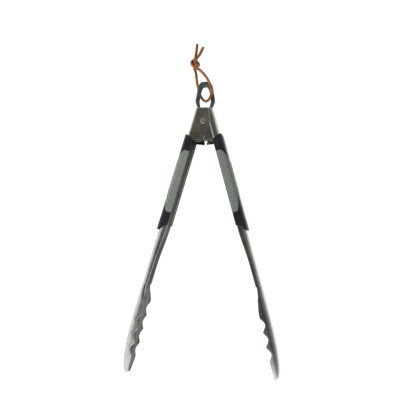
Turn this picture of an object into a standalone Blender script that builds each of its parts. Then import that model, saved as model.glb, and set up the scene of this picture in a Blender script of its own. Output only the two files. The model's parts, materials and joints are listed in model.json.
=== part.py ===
"""Spring-loaded kitchen tongs, lying flat with the arms sprung open.

World frame: +Y runs from the jaws to the pull ring, +Z is up and parallel to the pivot, the floor is z = 0.
Each arm is described in its closed pose by three coordinates: s, the distance from the pivot towards the tip;
u, the distance outwards from the plane where the two arms meet; and z, measured from the middle plane.
The hinge empties then swing the arms open by OPEN_ANGLE. Lengths are in metres.
"""

import math

import bmesh
import bpy
from mathutils import Vector

MM = 0.001

# Whole object
OPEN_ANGLE = math.radians(15.8)  # each arm, from closed to sprung open
ARM_REACH = 351 * MM  # pivot to tip
SHEET = 1.0 * MM  # pressed steel
GAP = 0.3 * MM  # between pieces that touch

# Steel arms: distance of the back from the closing plane, and half of the channel's depth
SHANK_STEP = 0.6 * MM  # the shank's back stands out past the head's
SHANK_RUN = 20 * MM  # over which the back moves out
JAW_BACK = 16.2 * MM
JAW_RUN = 40 * MM
TIP_BACK = 4.4 * MM
BACK_TAPER = 89 * MM  # before the tip
HALF_DEPTH = 11.75 * MM
JAW_HALF_DEPTH = 13.3 * MM
JAW_SPREAD = 20 * MM
TIP_HALF_DEPTH = 5.0 * MM
DEPTH_TAPER = 66 * MM  # before the tip
CORNER = 3.5 * MM

# Head of the arms, where the cheeks overlap on the pivot
HEAD_TOP = 18.1 * MM  # above the pivot, open
CHEEK_LAP = 5.8 * MM  # the cheeks reach this far past the closing plane
CHEEK_BREAK = 0.55  # of the way up to the head's top, where the slanted edge meets the upright one
HEAD_FOOT = 25.5 * MM  # the cheek's foot, at its inner edge
FOOT_RUN = 6 * MM
LOWER_FOOT_DROP = 1.8 * MM  # the lower cheek's foot hangs this much further, on the closing plane
NOTCH_AT = 21.6 * MM
NOTCH_RADIUS = 1.9 * MM
JOGGLE_LINE = 6.9 * MM  # of the nested cheeks, from the pivot down
JOGGLE_LINE_TOP = 10.6 * MM
JOGGLE_RUN = 1.5 * MM

# Shank: inner edge of the side walls
GRIP_EDGE = 7.0 * MM
SHANK_EDGE = 9.7 * MM
EDGE_RUN = (5 * MM, 50 * MM)  # before and after the grip's end
JAW_LENGTH = 118.5 * MM
LIP_STEP = 0.9 * MM  # the rolled lip ends square at the jaw

# Jaw: teeth cut in the side walls, measured back from the tip
TOOTH_PITCH = 18.75 * MM
UPPER_TEETH = 3
UPPER_FIRST = 80.0 * MM
UPPER_DEPTH = 4.6 * MM
LOWER_TEETH = 4
LOWER_FIRST = 95.5 * MM
LOWER_DEPTH = 3.0 * MM
JAW_EDGE = 4.2 * MM  # inner edge at the first tooth
TIP_EDGE = 1.8 * MM
TOOTH_SHAPE = 1.4  # power of the sine between two teeth

# Pivot, bush and spring
RIVET_RADIUS = 2.5 * MM
RIVET_HEAD_RADIUS = 4.0 * MM
RIVET_HEAD_HEIGHT = 1.2 * MM
WASHER_THICKNESS = 0.8 * MM
BUSH_WALL = 1.1 * MM
WIRE_RADIUS = 0.9 * MM
WIRE_CLEARANCE = 0.4 * MM
SPRING_TURNS = 3
SPRING_HALF_HEIGHT = 4.2 * MM
SPRING_LEG = 40.0 * MM

# Lock: a plate that slides between the coils and the arms, worked by the ring
PLATE_THICKNESS = 1.5 * MM
LOCK_TRAVEL = 9.0 * MM
RAIL_CLEARANCE = 0.8 * MM
RAIL_WIDTH = 2.7 * MM
HOOK_AT = 8.0 * MM  # below the pivot
HOOK_TOOTH = 3.2 * MM
HOOK_HALF_WIDTH = 2.5 * MM
HOOK_TO_RAIL = 1.2 * MM
FINGER_WIDTH = 1.5 * MM
FINGER_TO_BACK = 1.4 * MM
LOCK_PLAY = 0.4 * MM
FOOT_BAR = 4.0 * MM
CROSSBAR_RADIUS = 1.7 * MM
CROSSBAR_BELOW = 22.4 * MM

# Pull ring: half widths at heights above the pivot, lock pushed in
RING_TOP = 58.0 * MM
RING_HALF_THICKNESS = 3.0 * MM
RING_BASE = 10.5 * MM
RING_TONGUE = 4.7 * MM  # how far the plate enters the ring
RING_TONGUE_HALF = 7.0 * MM
RING_RIVET_RADIUS = 1.0 * MM
RING_RIVET_OFFSET = 4.4 * MM
RING_RIVET_SUNK = 0.2 * MM

# Grips
GRIP_START = 24.0 * MM
GRIP_LENGTH = 133.0 * MM
GRIP_WALL = 2.2 * MM
GRIP_CORNER = 5.0 * MM
GRIP_CAP = 15.5 * MM  # the end piece beyond the seam
GRIP_OVERHANG = 1.0 * MM
SQUARE_END = (0.0, 1.0)  # how far an end bends away at the inner edge, and by what power
GRIP_TOP = (5.0 * MM, 2.0)
GRIP_SEAM = (-6.5 * MM, 1.0)
GRIP_FOOT = (-9.0 * MM, 0.8)
PAD_PROUD = 0.25 * MM
PAD_WALL = 1.25 * MM
PAD_START = 21.0 * MM  # from the top of the grip
PAD_LENGTH = 86.5 * MM
PAD_PANEL = 11.5 * MM  # inside this line the panels have their full length
PAD_TOP_TAPER = (13.0 * MM, 1.8)  # outside it they shorten by this, and by what power
PAD_FOOT_TAPER = (22.7 * MM, 2.2)
PAD_MARGIN = 4.0 * MM  # of the layer the pad is cut from

# Lanyard
LACE_RADIUS = 1.8 * MM
LACE_STEP = 5.0 * MM

# Sizes that follow from the ones above
HOLE_RADIUS = RIVET_RADIUS + GAP
BUSH_INNER = RIVET_RADIUS + GAP
BUSH_OUTER = BUSH_INNER + BUSH_WALL
COIL_RADIUS = BUSH_OUTER + WIRE_CLEARANCE + WIRE_RADIUS
RAIL_INNER = COIL_RADIUS + WIRE_RADIUS + RAIL_CLEARANCE
RAIL_OUTER = RAIL_INNER + RAIL_WIDTH
INNER_CHEEK = HALF_DEPTH - SHEET - GAP  # outside of the nested cheeks
INNER_ROOM = INNER_CHEEK - SHEET - GAP  # half of the room between them
HOOK_INNER = RAIL_OUTER + HOOK_TO_RAIL
HOOK_OUTER = HOOK_INNER + SHEET
FINGER_INNER = HOOK_OUTER + GAP
FINGER_OUTER = FINGER_INNER + FINGER_WIDTH
HEAD_BACK = FINGER_OUTER + FINGER_TO_BACK + SHEET
SHANK_BACK = HEAD_BACK + SHANK_STEP
GRIP_HALF_DEPTH = HALF_DEPTH + GAP + GRIP_WALL
GRIP_BACK = SHANK_BACK + GAP + GRIP_WALL
GRIP_END = GRIP_START + GRIP_LENGTH
HEAD_SHOULDER = HEAD_FOOT + (GRIP_EDGE + CHEEK_LAP) * math.tan(OPEN_ANGLE)
JAW_START = ARM_REACH - JAW_LENGTH
MIDDLE = GRIP_HALF_DEPTH + PAD_PROUD
TIP_DROP = ARM_REACH * math.cos(OPEN_ANGLE) - TIP_EDGE * math.sin(OPEN_ANGLE)
PIVOT = Vector((0.0, (TIP_DROP - RING_TOP) / 2, MIDDLE))

for old in list(bpy.data.objects):
    bpy.data.objects.remove(old, do_unlink=True)

PARTS = bpy.data.collections.new("kitchen_tongs")
CUTTERS = bpy.data.collections.new("cutters")
bpy.context.scene.collection.children.link(PARTS)
bpy.context.scene.collection.children.link(CUTTERS)


# ---------------------------------------------------------------- helpers


def material(name, color, roughness, metallic=0.0):
    """A Principled material in linear colour."""
    made = bpy.data.materials.new(name)
    made.use_nodes = True
    shader = made.node_tree.nodes["Principled BSDF"]
    shader.inputs["Base Color"].default_value = (*color, 1.0)
    shader.inputs["Roughness"].default_value = roughness
    shader.inputs["Metallic"].default_value = metallic
    made.diffuse_color = (*color, 1.0)
    return made


def frame_empty(name, turn=0.0):
    """An empty on the pivot, turned about it."""
    empty = bpy.data.objects.new(name, None)
    empty.location = PIVOT
    empty.rotation_euler.z = turn
    PARTS.objects.link(empty)
    return empty


def add_object(name, mesh, parent, look, collection=PARTS):
    made = bpy.data.objects.new(name, mesh)
    collection.objects.link(made)
    made.parent = parent
    if look is not None:
        mesh.materials.append(look)
    return made


def add_cutter(name, mesh, parent):
    cutter = add_object(name, mesh, parent, None, CUTTERS)
    cutter.hide_render = True
    cutter.display_type = "WIRE"
    return cutter


def boolean(target, cutter, operation="DIFFERENCE"):
    modifier = target.modifiers.new(cutter.name, "BOOLEAN")
    modifier.object = cutter
    modifier.operation = operation


def mesh_from(name, build):
    """A mesh filled by build(bm)."""
    mesh = bpy.data.meshes.new(name)
    bm = bmesh.new()
    build(bm)
    bm.to_mesh(mesh)
    bm.free()
    return mesh


def cylinder_mesh(name, radius, low, high, x=0.0, y=0.0, segments=32):
    """An upright cylinder from z = low to z = high."""

    def build(bm):
        bmesh.ops.create_cone(
            bm, cap_ends=True, segments=segments, radius1=radius, radius2=radius, depth=high - low
        )
        bmesh.ops.translate(bm, verts=bm.verts, vec=(x, y, (low + high) / 2))

    return mesh_from(name, build)


def box_mesh(name, low, high):
    """A box between two opposite corners."""

    def build(bm):
        bmesh.ops.create_cube(bm, size=1.0)
        for vert in bm.verts:
            vert.co = [(a + b) / 2 + c * (b - a) for a, b, c in zip(low, high, vert.co)]

    return mesh_from(name, build)


def ease(value, start, end):
    """0 before start, 1 after end, smooth between."""
    t = min(max((value - start) / (end - start), 0.0), 1.0)
    return t * t * (3 - 2 * t)


def mix(a, b, t):
    return a + (b - a) * t


def spread(start, end, count):
    """count + 1 evenly spaced values from start to end."""
    return [mix(start, end, k / count) for k in range(count + 1)]


def rounded(points, radii, steps=5):
    """A closed outline whose corners are arcs; a radius of 0 leaves the corner sharp."""
    outline = []
    for k, (point, radius) in enumerate(zip(points, radii)):
        here = Vector(point)
        back = Vector(points[k - 1]) - here
        ahead = Vector(points[(k + 1) % len(points)]) - here
        if radius == 0:
            outline.append(here)
            continue
        half = back.angle(ahead) / 2
        reach = min(radius / math.tan(half), 0.45 * min(back.length, ahead.length))
        start = here + back.normalized() * reach
        end = here + ahead.normalized() * reach
        for t in spread(0.0, 1.0, steps):
            outline.append(start.lerp(here, t).lerp(here.lerp(end, t), t))
    return outline


def mirrored(half, radii):
    """The whole outline from its right half, listed from the top down."""
    left = [(-x, y) for x, y in reversed(half)]
    return half + left, radii + list(reversed(radii))


def plate_mesh(name, outlines, half_thickness):
    """A flat plate from 2D curves; the second outline and later ones are holes."""
    curve = bpy.data.curves.new(name, "CURVE")
    curve.dimensions = "2D"
    curve.fill_mode = "BOTH"
    curve.extrude = half_thickness
    for outline in outlines:
        spline = curve.splines.new("POLY")
        spline.points.add(len(outline) - 1)
        spline.use_cyclic_u = True
        for point, place in zip(spline.points, outline):
            point.co = (place[0], place[1], 0.0, 1.0)
    return curve_to_mesh(name, curve)


def curve_to_mesh(name, curve):
    """The evaluated curve as a welded mesh; the curve object is removed."""
    guide = bpy.data.objects.new(name + "_guide", curve)
    CUTTERS.objects.link(guide)
    bpy.context.view_layer.update()
    evaluated = guide.evaluated_get(bpy.context.evaluated_depsgraph_get())
    mesh = bpy.data.meshes.new_from_object(evaluated)
    bpy.data.objects.remove(guide, do_unlink=True)
    bm = bmesh.new()
    bm.from_mesh(mesh)
    bmesh.ops.remove_doubles(bm, verts=bm.verts, dist=1e-7)
    bmesh.ops.recalc_face_normals(bm, faces=bm.faces)
    bm.to_mesh(mesh)
    bm.free()
    mesh.materials.clear()
    mesh.name = name
    return mesh


def tube(name, points, radius, parent, look):
    """A round wire or cord along points."""
    curve = bpy.data.curves.new(name, "CURVE")
    curve.dimensions = "3D"
    curve.bevel_depth = radius
    curve.bevel_resolution = 2
    curve.use_fill_caps = True
    spline = curve.splines.new("POLY")
    spline.points.add(len(points) - 1)
    for point, place in zip(spline.points, points):
        point.co = (*place, 1.0)
    return add_object(name, curve, parent, look)


def smooth_path(route, step):
    """Points every step or so along a smooth curve through the route."""
    route = [Vector(point) for point in route]
    path = [route[0]]
    for k in range(len(route) - 1):
        a, b = route[k], route[k + 1]
        before = route[k - 1] if k else a * 2 - b
        after = route[k + 2] if k + 2 < len(route) else b * 2 - a
        pieces = max(1, round((b - a).length / step))
        for t in spread(0.0, 1.0, pieces)[1:]:
            path.append(
                0.5
                * (
                    2 * a
                    + (b - before) * t
                    + (2 * before - 5 * a + 4 * b - after) * t**2
                    + (3 * a - before - 3 * b + after) * t**3
                )
            )
    return path


# ---------------------------------------------------------------- channel surfaces


def channel_section(back, upper_edge, lower_edge, half_depth, corner, step_line=None):
    """A U section as (u, z) points, from the upper wall's edge round the back to the lower wall's edge.

    With a step line, the walls inside that line are set in by one sheet and a gap.
    """

    def half(edge):
        points = []
        if step_line is None:
            points.append((edge, half_depth))
        else:
            points.append((edge, INNER_CHEEK))
            points.append((step_line, INNER_CHEEK))
            points.append((step_line + JOGGLE_RUN, half_depth))
        for t in spread(0.0, math.pi / 2, 3):
            points.append((back - corner + corner * math.sin(t), half_depth - corner + corner * math.cos(t)))
        return points

    upper = half(upper_edge)
    lower = [(u, -z) for u, z in reversed(half(lower_edge))]
    return upper + lower


def strip_mesh(name, sections, side):
    """A surface through sections of (u, s, z) points, its normals facing away from the channel's inside."""

    def build(bm):
        rows = [[bm.verts.new((side * u, -s, z)) for u, s, z in section] for section in sections]
        for row, below in zip(rows, rows[1:]):
            for j in range(len(row) - 1):
                corners = (row[j], below[j], below[j + 1], row[j + 1])
                bm.faces.new(corners if side > 0 else tuple(reversed(corners)))

    return mesh_from(name, build)


def solidify(target, thickness):
    modifier = target.modifiers.new("wall", "SOLIDIFY")
    modifier.thickness = thickness
    modifier.offset = -1.0
    modifier.use_even_offset = True


# ---------------------------------------------------------------- steel arms


def back_line(s):
    """How far the arm's back is from the closing plane."""
    back = mix(HEAD_BACK, SHANK_BACK, ease(s, HEAD_SHOULDER, HEAD_SHOULDER + SHANK_RUN))
    back = mix(back, JAW_BACK, ease(s, JAW_START, JAW_START + JAW_RUN))
    t = max(0.0, (s - ARM_REACH + BACK_TAPER) / BACK_TAPER)
    return TIP_BACK + (back - TIP_BACK) * math.sqrt(max(0.0, 1 - t**2.3))


def depth_line(s):
    """Half of the channel's depth."""
    depth = mix(HALF_DEPTH, JAW_HALF_DEPTH, ease(s, JAW_START, JAW_START + JAW_SPREAD))
    t = max(0.0, (s - ARM_REACH + DEPTH_TAPER) / DEPTH_TAPER)
    return TIP_HALF_DEPTH + (depth - TIP_HALF_DEPTH) * math.sqrt(max(0.0, 1 - t**2.6))


def edge_line(s, first, count, depth):
    """Inner edge of a side wall: shank, jaw entry, teeth and tip."""
    shank = mix(GRIP_EDGE, SHANK_EDGE, ease(s, GRIP_END - EDGE_RUN[0], GRIP_END + EDGE_RUN[1]))
    if s < JAW_START:
        return shank
    teeth_start = ARM_REACH - first
    teeth_end = teeth_start + count * TOOTH_PITCH
    line = mix(SHANK_EDGE + LIP_STEP, JAW_EDGE, ease(s, JAW_START, teeth_start))
    line = mix(line, TIP_EDGE, ease(s, teeth_start, teeth_end))
    if teeth_start < s < teeth_end:
        phase = (s - teeth_start) / TOOTH_PITCH
        line += depth * abs(math.sin(math.pi * phase)) ** TOOTH_SHAPE
    return line


def arm_section(s, step_line):
    back = back_line(s)
    upper = edge_line(s, UPPER_FIRST, UPPER_TEETH, UPPER_DEPTH)
    lower = edge_line(s, LOWER_FIRST, LOWER_TEETH, LOWER_DEPTH)
    corner = min(CORNER, 0.5 * (back - max(upper, lower)))
    corner = max(corner, 0.5 * (TIP_BACK - TIP_EDGE))
    section = channel_section(back, upper, lower, depth_line(s), corner, step_line)
    return [(u, s, z) for u, z in section]


def head_sections(nested):
    """The cheeks. Their top and foot slant, so that both lie level when the arms are open."""
    slope = math.tan(OPEN_ANGLE)
    top = HEAD_TOP / math.cos(OPEN_ANGLE)
    rows = [
        (-top, slope, 0.0, JOGGLE_LINE_TOP),
        (-CHEEK_BREAK * top, 0.3 * slope, -CHEEK_BREAK * CHEEK_LAP, mix(JOGGLE_LINE, JOGGLE_LINE_TOP, 0.5)),
        (0.0, 0.0, -CHEEK_LAP, JOGGLE_LINE),
        (HEAD_FOOT - FOOT_RUN, 0.0, -CHEEK_LAP, JOGGLE_LINE),
        (HEAD_FOOT, 0.0, -CHEEK_LAP, JOGGLE_LINE),
        (HEAD_SHOULDER, 0.0, GRIP_EDGE, GRIP_EDGE + GAP),
    ]
    sections = []
    for s, slant, edge, step_line in rows:
        line = max(step_line, edge + GAP) if nested else None
        drop = LOWER_FOOT_DROP * ease(s, HEAD_FOOT - FOOT_RUN, HEAD_FOOT)
        section = []
        for u, z in channel_section(HEAD_BACK, edge, edge, HALF_DEPTH, CORNER, line):
            hang = drop * (1 - u / HEAD_BACK) if z < 0 else 0.0
            section.append((u, s + slant * u + hang, z))
        sections.append(section)
    return sections


def arm_stations():
    """Where the sections of the shank and the jaw stand: eight to a tooth, and closer towards the tip."""
    first_tooth = ARM_REACH - LOWER_FIRST
    upper_end = ARM_REACH - UPPER_FIRST + UPPER_TEETH * TOOTH_PITCH
    last_tooth = max(upper_end, first_tooth + LOWER_TEETH * TOOTH_PITCH)
    stations = [HEAD_SHOULDER + 8 * MM]
    stations += spread(GRIP_END - EDGE_RUN[0], JAW_START - GAP, 5)
    stations += spread(JAW_START, first_tooth, 5)
    stations += spread(first_tooth, last_tooth, round(8 * (last_tooth - first_tooth) / TOOTH_PITCH))[1:]
    left_over = ARM_REACH - last_tooth
    stations += [ARM_REACH - left_over * (1 - k / 8) ** 2 for k in range(1, 9)]
    return stations


def steel_arm(name, side, hinge, nested, look):
    """One arm: a surface from head to tip, thickened inwards, with its hook, pivot holes and notch."""
    sections = head_sections(nested)
    step_line = GRIP_EDGE + GAP if nested else None
    for s in arm_stations():
        section = arm_section(s, step_line)
        if nested:
            section = spread_edge(section, depth_line(s))
        sections.append(section)
    arm = add_object(name, strip_mesh(name, sections, side), hinge, look)
    solidify(arm, SHEET)
    add_hook(arm, name, side, hinge)
    for hole, radius, u, s in (
        ("pivot_hole", HOLE_RADIUS, 0.0, 0.0),
        ("notch", NOTCH_RADIUS, -CHEEK_LAP - GAP, NOTCH_AT),
    ):
        mesh = cylinder_mesh(name + "_" + hole, radius, -2 * HALF_DEPTH, 2 * HALF_DEPTH, side * u, -s, 24)
        boolean(arm, add_cutter(mesh.name, mesh, hinge))
    return arm


def spread_edge(section, half_depth):
    """Beyond the nested cheeks the joggle ends: its three points share out a level wall evenly."""
    (edge, s, _), (corner, _, _) = section[0], section[3]
    upper = [(mix(edge, corner, k / 3), s, half_depth) for k in range(3)]
    (edge, s, _), (corner, _, _) = section[-1], section[-4]
    lower = [(mix(edge, corner, k / 3), s, -half_depth) for k in (2, 1, 0)]
    return upper + section[3:-3] + lower


def add_hook(arm, name, side, hinge):
    """The lock's hook: a tab lanced from the back that turns towards the tip."""
    stem_low = (side * HOOK_INNER, -HOOK_AT - SHEET, -HOOK_HALF_WIDTH)
    stem_high = (side * (HEAD_BACK - SHEET / 2), -HOOK_AT, HOOK_HALF_WIDTH)
    tooth_low = (side * HOOK_INNER, -HOOK_AT - SHEET - HOOK_TOOTH, -HOOK_HALF_WIDTH)
    tooth_high = (side * HOOK_OUTER, -HOOK_AT - SHEET / 2, HOOK_HALF_WIDTH)
    for piece, low, high in (("stem", stem_low, stem_high), ("tooth", tooth_low, tooth_high)):
        low, high = [min(a, b) for a, b in zip(low, high)], [max(a, b) for a, b in zip(low, high)]
        mesh = box_mesh(f"{name}_hook_{piece}", low, high)
        boolean(arm, add_cutter(mesh.name, mesh, hinge), "UNION")


# ---------------------------------------------------------------- grips


def grip_sections(offset, start, start_bend, end, end_bend, count=6):
    """Sections of the grip's outer surface, moved out by offset; the bends shape the first and last ones."""
    edge = GRIP_EDGE - GRIP_OVERHANG
    back = GRIP_BACK + offset
    section = channel_section(back, edge, edge, GRIP_HALF_DEPTH + offset, GRIP_CORNER + offset)

    def bent(s, bend):
        reach, power = bend
        return [(u, s + reach * ((back - u) / (back - edge)) ** power, z) for u, z in section]

    first = start + max(start_bend[0], 0.0) + 2 * MM
    last = end + min(end_bend[0], 0.0) - 2 * MM
    rows = [bent(start, start_bend)]
    for s in spread(first, last, count):
        rows.append([(u, s, z) for u, z in section])
    rows.append(bent(end, end_bend))
    return rows


def grip_shell(name, side, hinge, look):
    """The shell, from the grip's top to the slanted seam, with a recess for the pad."""
    sections = grip_sections(0.0, GRIP_START, GRIP_TOP, GRIP_END - GRIP_CAP, GRIP_SEAM)
    shell = add_object(name, strip_mesh(name, sections, side), hinge, look)
    solidify(shell, GRIP_WALL)
    boolean(shell, pad_recess(name + "_recess", side, hinge))


def grip_end(name, side, hinge, look):
    """The end piece beyond the seam."""
    sections = grip_sections(0.0, GRIP_END - GRIP_CAP + GAP, GRIP_SEAM, GRIP_END, GRIP_FOOT, 1)
    end = add_object(name, strip_mesh(name, sections, side), hinge, look)
    solidify(end, GRIP_WALL)


def pad_outline(name, side, hinge, margin):
    """The pad in the side view, as a tall prism: wide panels that narrow to a band round the back."""
    top = GRIP_START + PAD_START - margin
    bottom = GRIP_START + PAD_START + PAD_LENGTH + margin
    inner = GRIP_EDGE - GRIP_OVERHANG - margin - 2 * MM
    outline = [(inner, top)]
    for t in spread(0.0, 1.0, 6):
        reach, power = PAD_TOP_TAPER
        outline.append((mix(PAD_PANEL, GRIP_BACK, t) + margin, top + reach * t**power))
    outline.append((GRIP_BACK + PAD_MARGIN, top + PAD_TOP_TAPER[0]))
    outline.append((GRIP_BACK + PAD_MARGIN, bottom - PAD_FOOT_TAPER[0]))
    for t in spread(1.0, 0.0, 6):
        reach, power = PAD_FOOT_TAPER
        outline.append((mix(PAD_PANEL, GRIP_BACK, t) + margin, bottom - reach * t**power))
    outline.append((inner, bottom))
    mesh = plate_mesh(name, [[(side * u, -s) for u, s in outline]], 2 * HALF_DEPTH)
    return add_cutter(name, mesh, hinge)


def pad_layer(name, side, offset):
    """The pad's layer over more than its length, before it is trimmed to the outline."""
    start = GRIP_START + PAD_START - PAD_MARGIN
    end = GRIP_START + PAD_START + PAD_LENGTH + PAD_MARGIN
    return strip_mesh(name, grip_sections(offset, start, SQUARE_END, end, SQUARE_END, 4), side)


def pad_recess(name, side, hinge):
    """The cutter for the pad's recess: the pad's layer and outline, each with a gap all round."""
    recess = add_cutter(name, pad_layer(name, side, PAD_PROUD + GAP), hinge)
    solidify(recess, PAD_WALL + 2 * GAP)
    boolean(recess, pad_outline(name + "_outline", side, hinge, GAP), "INTERSECT")
    return recess


def grip_pad(name, side, hinge, look):
    """The soft pad, standing a little proud of the shell."""
    pad = add_object(name, pad_layer(name, side, PAD_PROUD), hinge, look)
    solidify(pad, PAD_WALL)
    boolean(pad, pad_outline(name + "_outline", side, hinge, 0.0), "INTERSECT")


# ---------------------------------------------------------------- pivot and spring


def pivot_pieces(root, steel):
    """The rivet, the washer under its tail, and the bush that carries the spring between the cheeks."""
    turned(add_object("pivot_rivet", mesh_from("pivot_rivet", rivet_profile), root, steel))
    cheek = -HALF_DEPTH - GAP
    ring_object("rivet_washer", HOLE_RADIUS, RIVET_HEAD_RADIUS, cheek - WASHER_THICKNESS, cheek, root, steel)
    ring_object("spring_bush", BUSH_INNER, BUSH_OUTER, -INNER_ROOM, INNER_ROOM, root, steel)


def rivet_profile(bm):
    """Half profile of the rivet at +X, from the top down: a dimpled head, the shank and the formed tail."""
    cheek = HALF_DEPTH + GAP
    tail = -cheek - WASHER_THICKNESS - GAP
    top = cheek + RIVET_HEAD_HEIGHT
    foot = tail - RIVET_HEAD_HEIGHT
    profile = [
        (0.0, top - 0.5 * MM),
        (0.45 * RIVET_HEAD_RADIUS, top - 0.1 * MM),
        (0.62 * RIVET_HEAD_RADIUS, top),
        (0.9 * RIVET_HEAD_RADIUS, top - 0.35 * MM),
        (RIVET_HEAD_RADIUS, cheek + 0.3 * MM),
        (RIVET_HEAD_RADIUS, cheek),
        (RIVET_RADIUS, cheek),
        (RIVET_RADIUS, tail),
        (0.9 * RIVET_HEAD_RADIUS, tail),
        (0.9 * RIVET_HEAD_RADIUS, foot + 0.4 * MM),
        (0.7 * RIVET_HEAD_RADIUS, foot),
        (0.0, foot),
    ]
    verts = [bm.verts.new((x, 0.0, z)) for x, z in profile]
    for a, b in zip(verts, verts[1:]):
        bm.edges.new((a, b))


def turned(target, steps=28):
    modifier = target.modifiers.new("turn", "SCREW")
    modifier.steps = steps
    modifier.render_steps = steps
    modifier.use_merge_vertices = True
    modifier.merge_threshold = 1e-5
    modifier.use_normal_calculate = False


def ring_object(name, inner, outer, low, high, root, look):
    """A plain ring or sleeve."""

    def build(bm):
        corners = [(outer, high), (outer, low), (inner, low), (inner, high)]
        verts = [bm.verts.new((x, 0.0, z)) for x, z in corners]
        for k, vert in enumerate(verts):
            bm.edges.new((vert, verts[(k + 1) % len(verts)]))

    turned(add_object(name, mesh_from(name, build), root, look))


def spring_points():
    """The right leg up to the coil, down the coil, and out along the left leg, with the arms open."""
    reach_u = SHANK_BACK - SHEET - GAP - WIRE_RADIUS - 0.6 * MM
    end_x = reach_u * math.cos(OPEN_ANGLE) + SPRING_LEG * math.sin(OPEN_ANGLE)
    end_y = reach_u * math.sin(OPEN_ANGLE) - SPRING_LEG * math.cos(OPEN_ANGLE)
    lean = math.acos(COIL_RADIUS / math.hypot(end_x, end_y)) - math.atan2(-end_y, end_x)
    start = math.pi - lean
    sweep = math.pi - 2 * lean + 2 * math.pi * SPRING_TURNS
    left_leg = Vector((-end_x, end_y, SPRING_HALF_HEIGHT))
    points = [left_leg]
    count = 18 * SPRING_TURNS + 8
    for t in spread(0.0, 1.0, count):
        angle = start - sweep * t
        z = SPRING_HALF_HEIGHT * (1 - 2 * t)
        points.append(Vector((COIL_RADIUS * math.cos(angle), COIL_RADIUS * math.sin(angle), z)))
    points.append(Vector((end_x, end_y, -SPRING_HALF_HEIGHT)))
    return points


# ---------------------------------------------------------------- lock and ring


def lock_plate(parent, look):
    """A stirrup round the coil: a tongue in the ring, two rails, and a foot whose fingers meet the hooks."""
    tongue_top = RING_BASE + RING_TONGUE
    shoulder = RING_BASE - GAP
    window_top = COIL_RADIUS + WIRE_RADIUS + RAIL_CLEARANCE + 0.5 * MM
    finger_tip = -(HOOK_AT + SHEET + LOCK_PLAY) - LOCK_TRAVEL
    foot_top = -(HOOK_AT + SHEET + HOOK_TOOTH + LOCK_PLAY) - LOCK_TRAVEL
    foot = foot_top - FOOT_BAR
    window_foot = -CROSSBAR_BELOW + CROSSBAR_RADIUS + 2.2 * MM
    centre_foot = -CROSSBAR_BELOW - CROSSBAR_RADIUS - 1.1 * MM
    half = [
        (RING_TONGUE_HALF, tongue_top),
        (RING_TONGUE_HALF, shoulder),
        (RAIL_OUTER, shoulder),
        (RAIL_OUTER, foot_top),
        (FINGER_INNER, foot_top),
        (FINGER_INNER, finger_tip),
        (FINGER_OUTER, finger_tip),
        (FINGER_OUTER, foot),
        (RAIL_INNER, foot),
        (RAIL_INNER - 2 * MM, centre_foot),
    ]
    radii = [r * MM for r in (0.8, 0.0, 0.8, 0.8, 0.4, 0.4, 0.6, 0.8, 0.8, 0.8)]
    outer = rounded(*mirrored(half, radii), 2)
    window_half = [(RAIL_INNER, window_top), (RAIL_INNER, window_foot)]
    window = rounded(*mirrored(window_half, [1.5 * MM, 1.5 * MM]), 3)
    holes = [round_outline(0.0, -CROSSBAR_BELOW, CROSSBAR_RADIUS + GAP)]
    for x in (-RING_RIVET_OFFSET, RING_RIVET_OFFSET):
        holes.append(round_outline(x, ring_rivet_height(), RING_RIVET_RADIUS + GAP, 12))
    mesh = plate_mesh("lock_slide", [outer, window, *holes], PLATE_THICKNESS / 2)
    add_object("lock_slide", mesh, parent, look)


def ring_rivet_height():
    return RING_BASE + RING_TONGUE / 2


def round_outline(x, y, radius, count=16):
    angles = [2 * math.pi * k / count for k in range(count)]
    return [(x + radius * math.cos(a), y + radius * math.sin(a)) for a in angles]


def pull_ring(parent, look):
    """A long six-sided loop with rounded corners; its foot is slotted for the plate."""
    half = [
        (6.4 * MM, RING_TOP),
        (10.0 * MM, RING_TOP - 5.5 * MM),
        (14.2 * MM, 29.5 * MM),
        (RAIL_OUTER + 1.4 * MM, HEAD_TOP + 4.0 * MM),
        (RAIL_OUTER, HEAD_TOP - 0.8 * MM),
        (RAIL_OUTER - 0.2 * MM, RING_BASE),
    ]
    radii = [3.0 * MM, 3.0 * MM, 5.0 * MM, 3.0 * MM, 1.5 * MM, 0.8 * MM]
    opening_half = [
        (3.2 * MM, RING_TOP - 7.8 * MM),
        (5.4 * MM, RING_TOP - 14.0 * MM),
        (8.3 * MM, 29.5 * MM),
        (5.6 * MM, RING_BASE + RING_TONGUE + 4.6 * MM),
        (5.2 * MM, RING_BASE + RING_TONGUE + 1.6 * MM),
    ]
    opening_radii = [2.5 * MM, 2.5 * MM, 4.0 * MM, 1.5 * MM, 1.2 * MM]
    outer = rounded(*mirrored(half, radii), 4)
    opening = rounded(*mirrored(opening_half, opening_radii), 4)
    mesh = plate_mesh("pull_ring", [outer, opening], RING_HALF_THICKNESS)
    ring = add_object("pull_ring", mesh, parent, look)
    bevel = ring.modifiers.new("edges", "BEVEL")
    bevel.width = 1.0 * MM
    bevel.segments = 2
    bevel.limit_method = "ANGLE"
    bevel.angle_limit = math.radians(50)
    slot_half = (RING_TONGUE_HALF + GAP, PLATE_THICKNESS / 2 + GAP)
    slot = box_mesh(
        "ring_slot",
        (-slot_half[0], RING_BASE - 2 * MM, -slot_half[1]),
        (slot_half[0], RING_BASE + RING_TONGUE + GAP, slot_half[1]),
    )
    boolean(ring, add_cutter("ring_slot", slot, parent))
    for side in (-1, 1):
        name = "ring_rivet_hole_left" if side < 0 else "ring_rivet_hole_right"
        hole = cylinder_mesh(
            name,
            RING_RIVET_RADIUS + GAP,
            -2 * RING_HALF_THICKNESS,
            2 * RING_HALF_THICKNESS,
            side * RING_RIVET_OFFSET,
            ring_rivet_height(),
            12,
        )
        boolean(ring, add_cutter(name, hole, parent))


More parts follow.
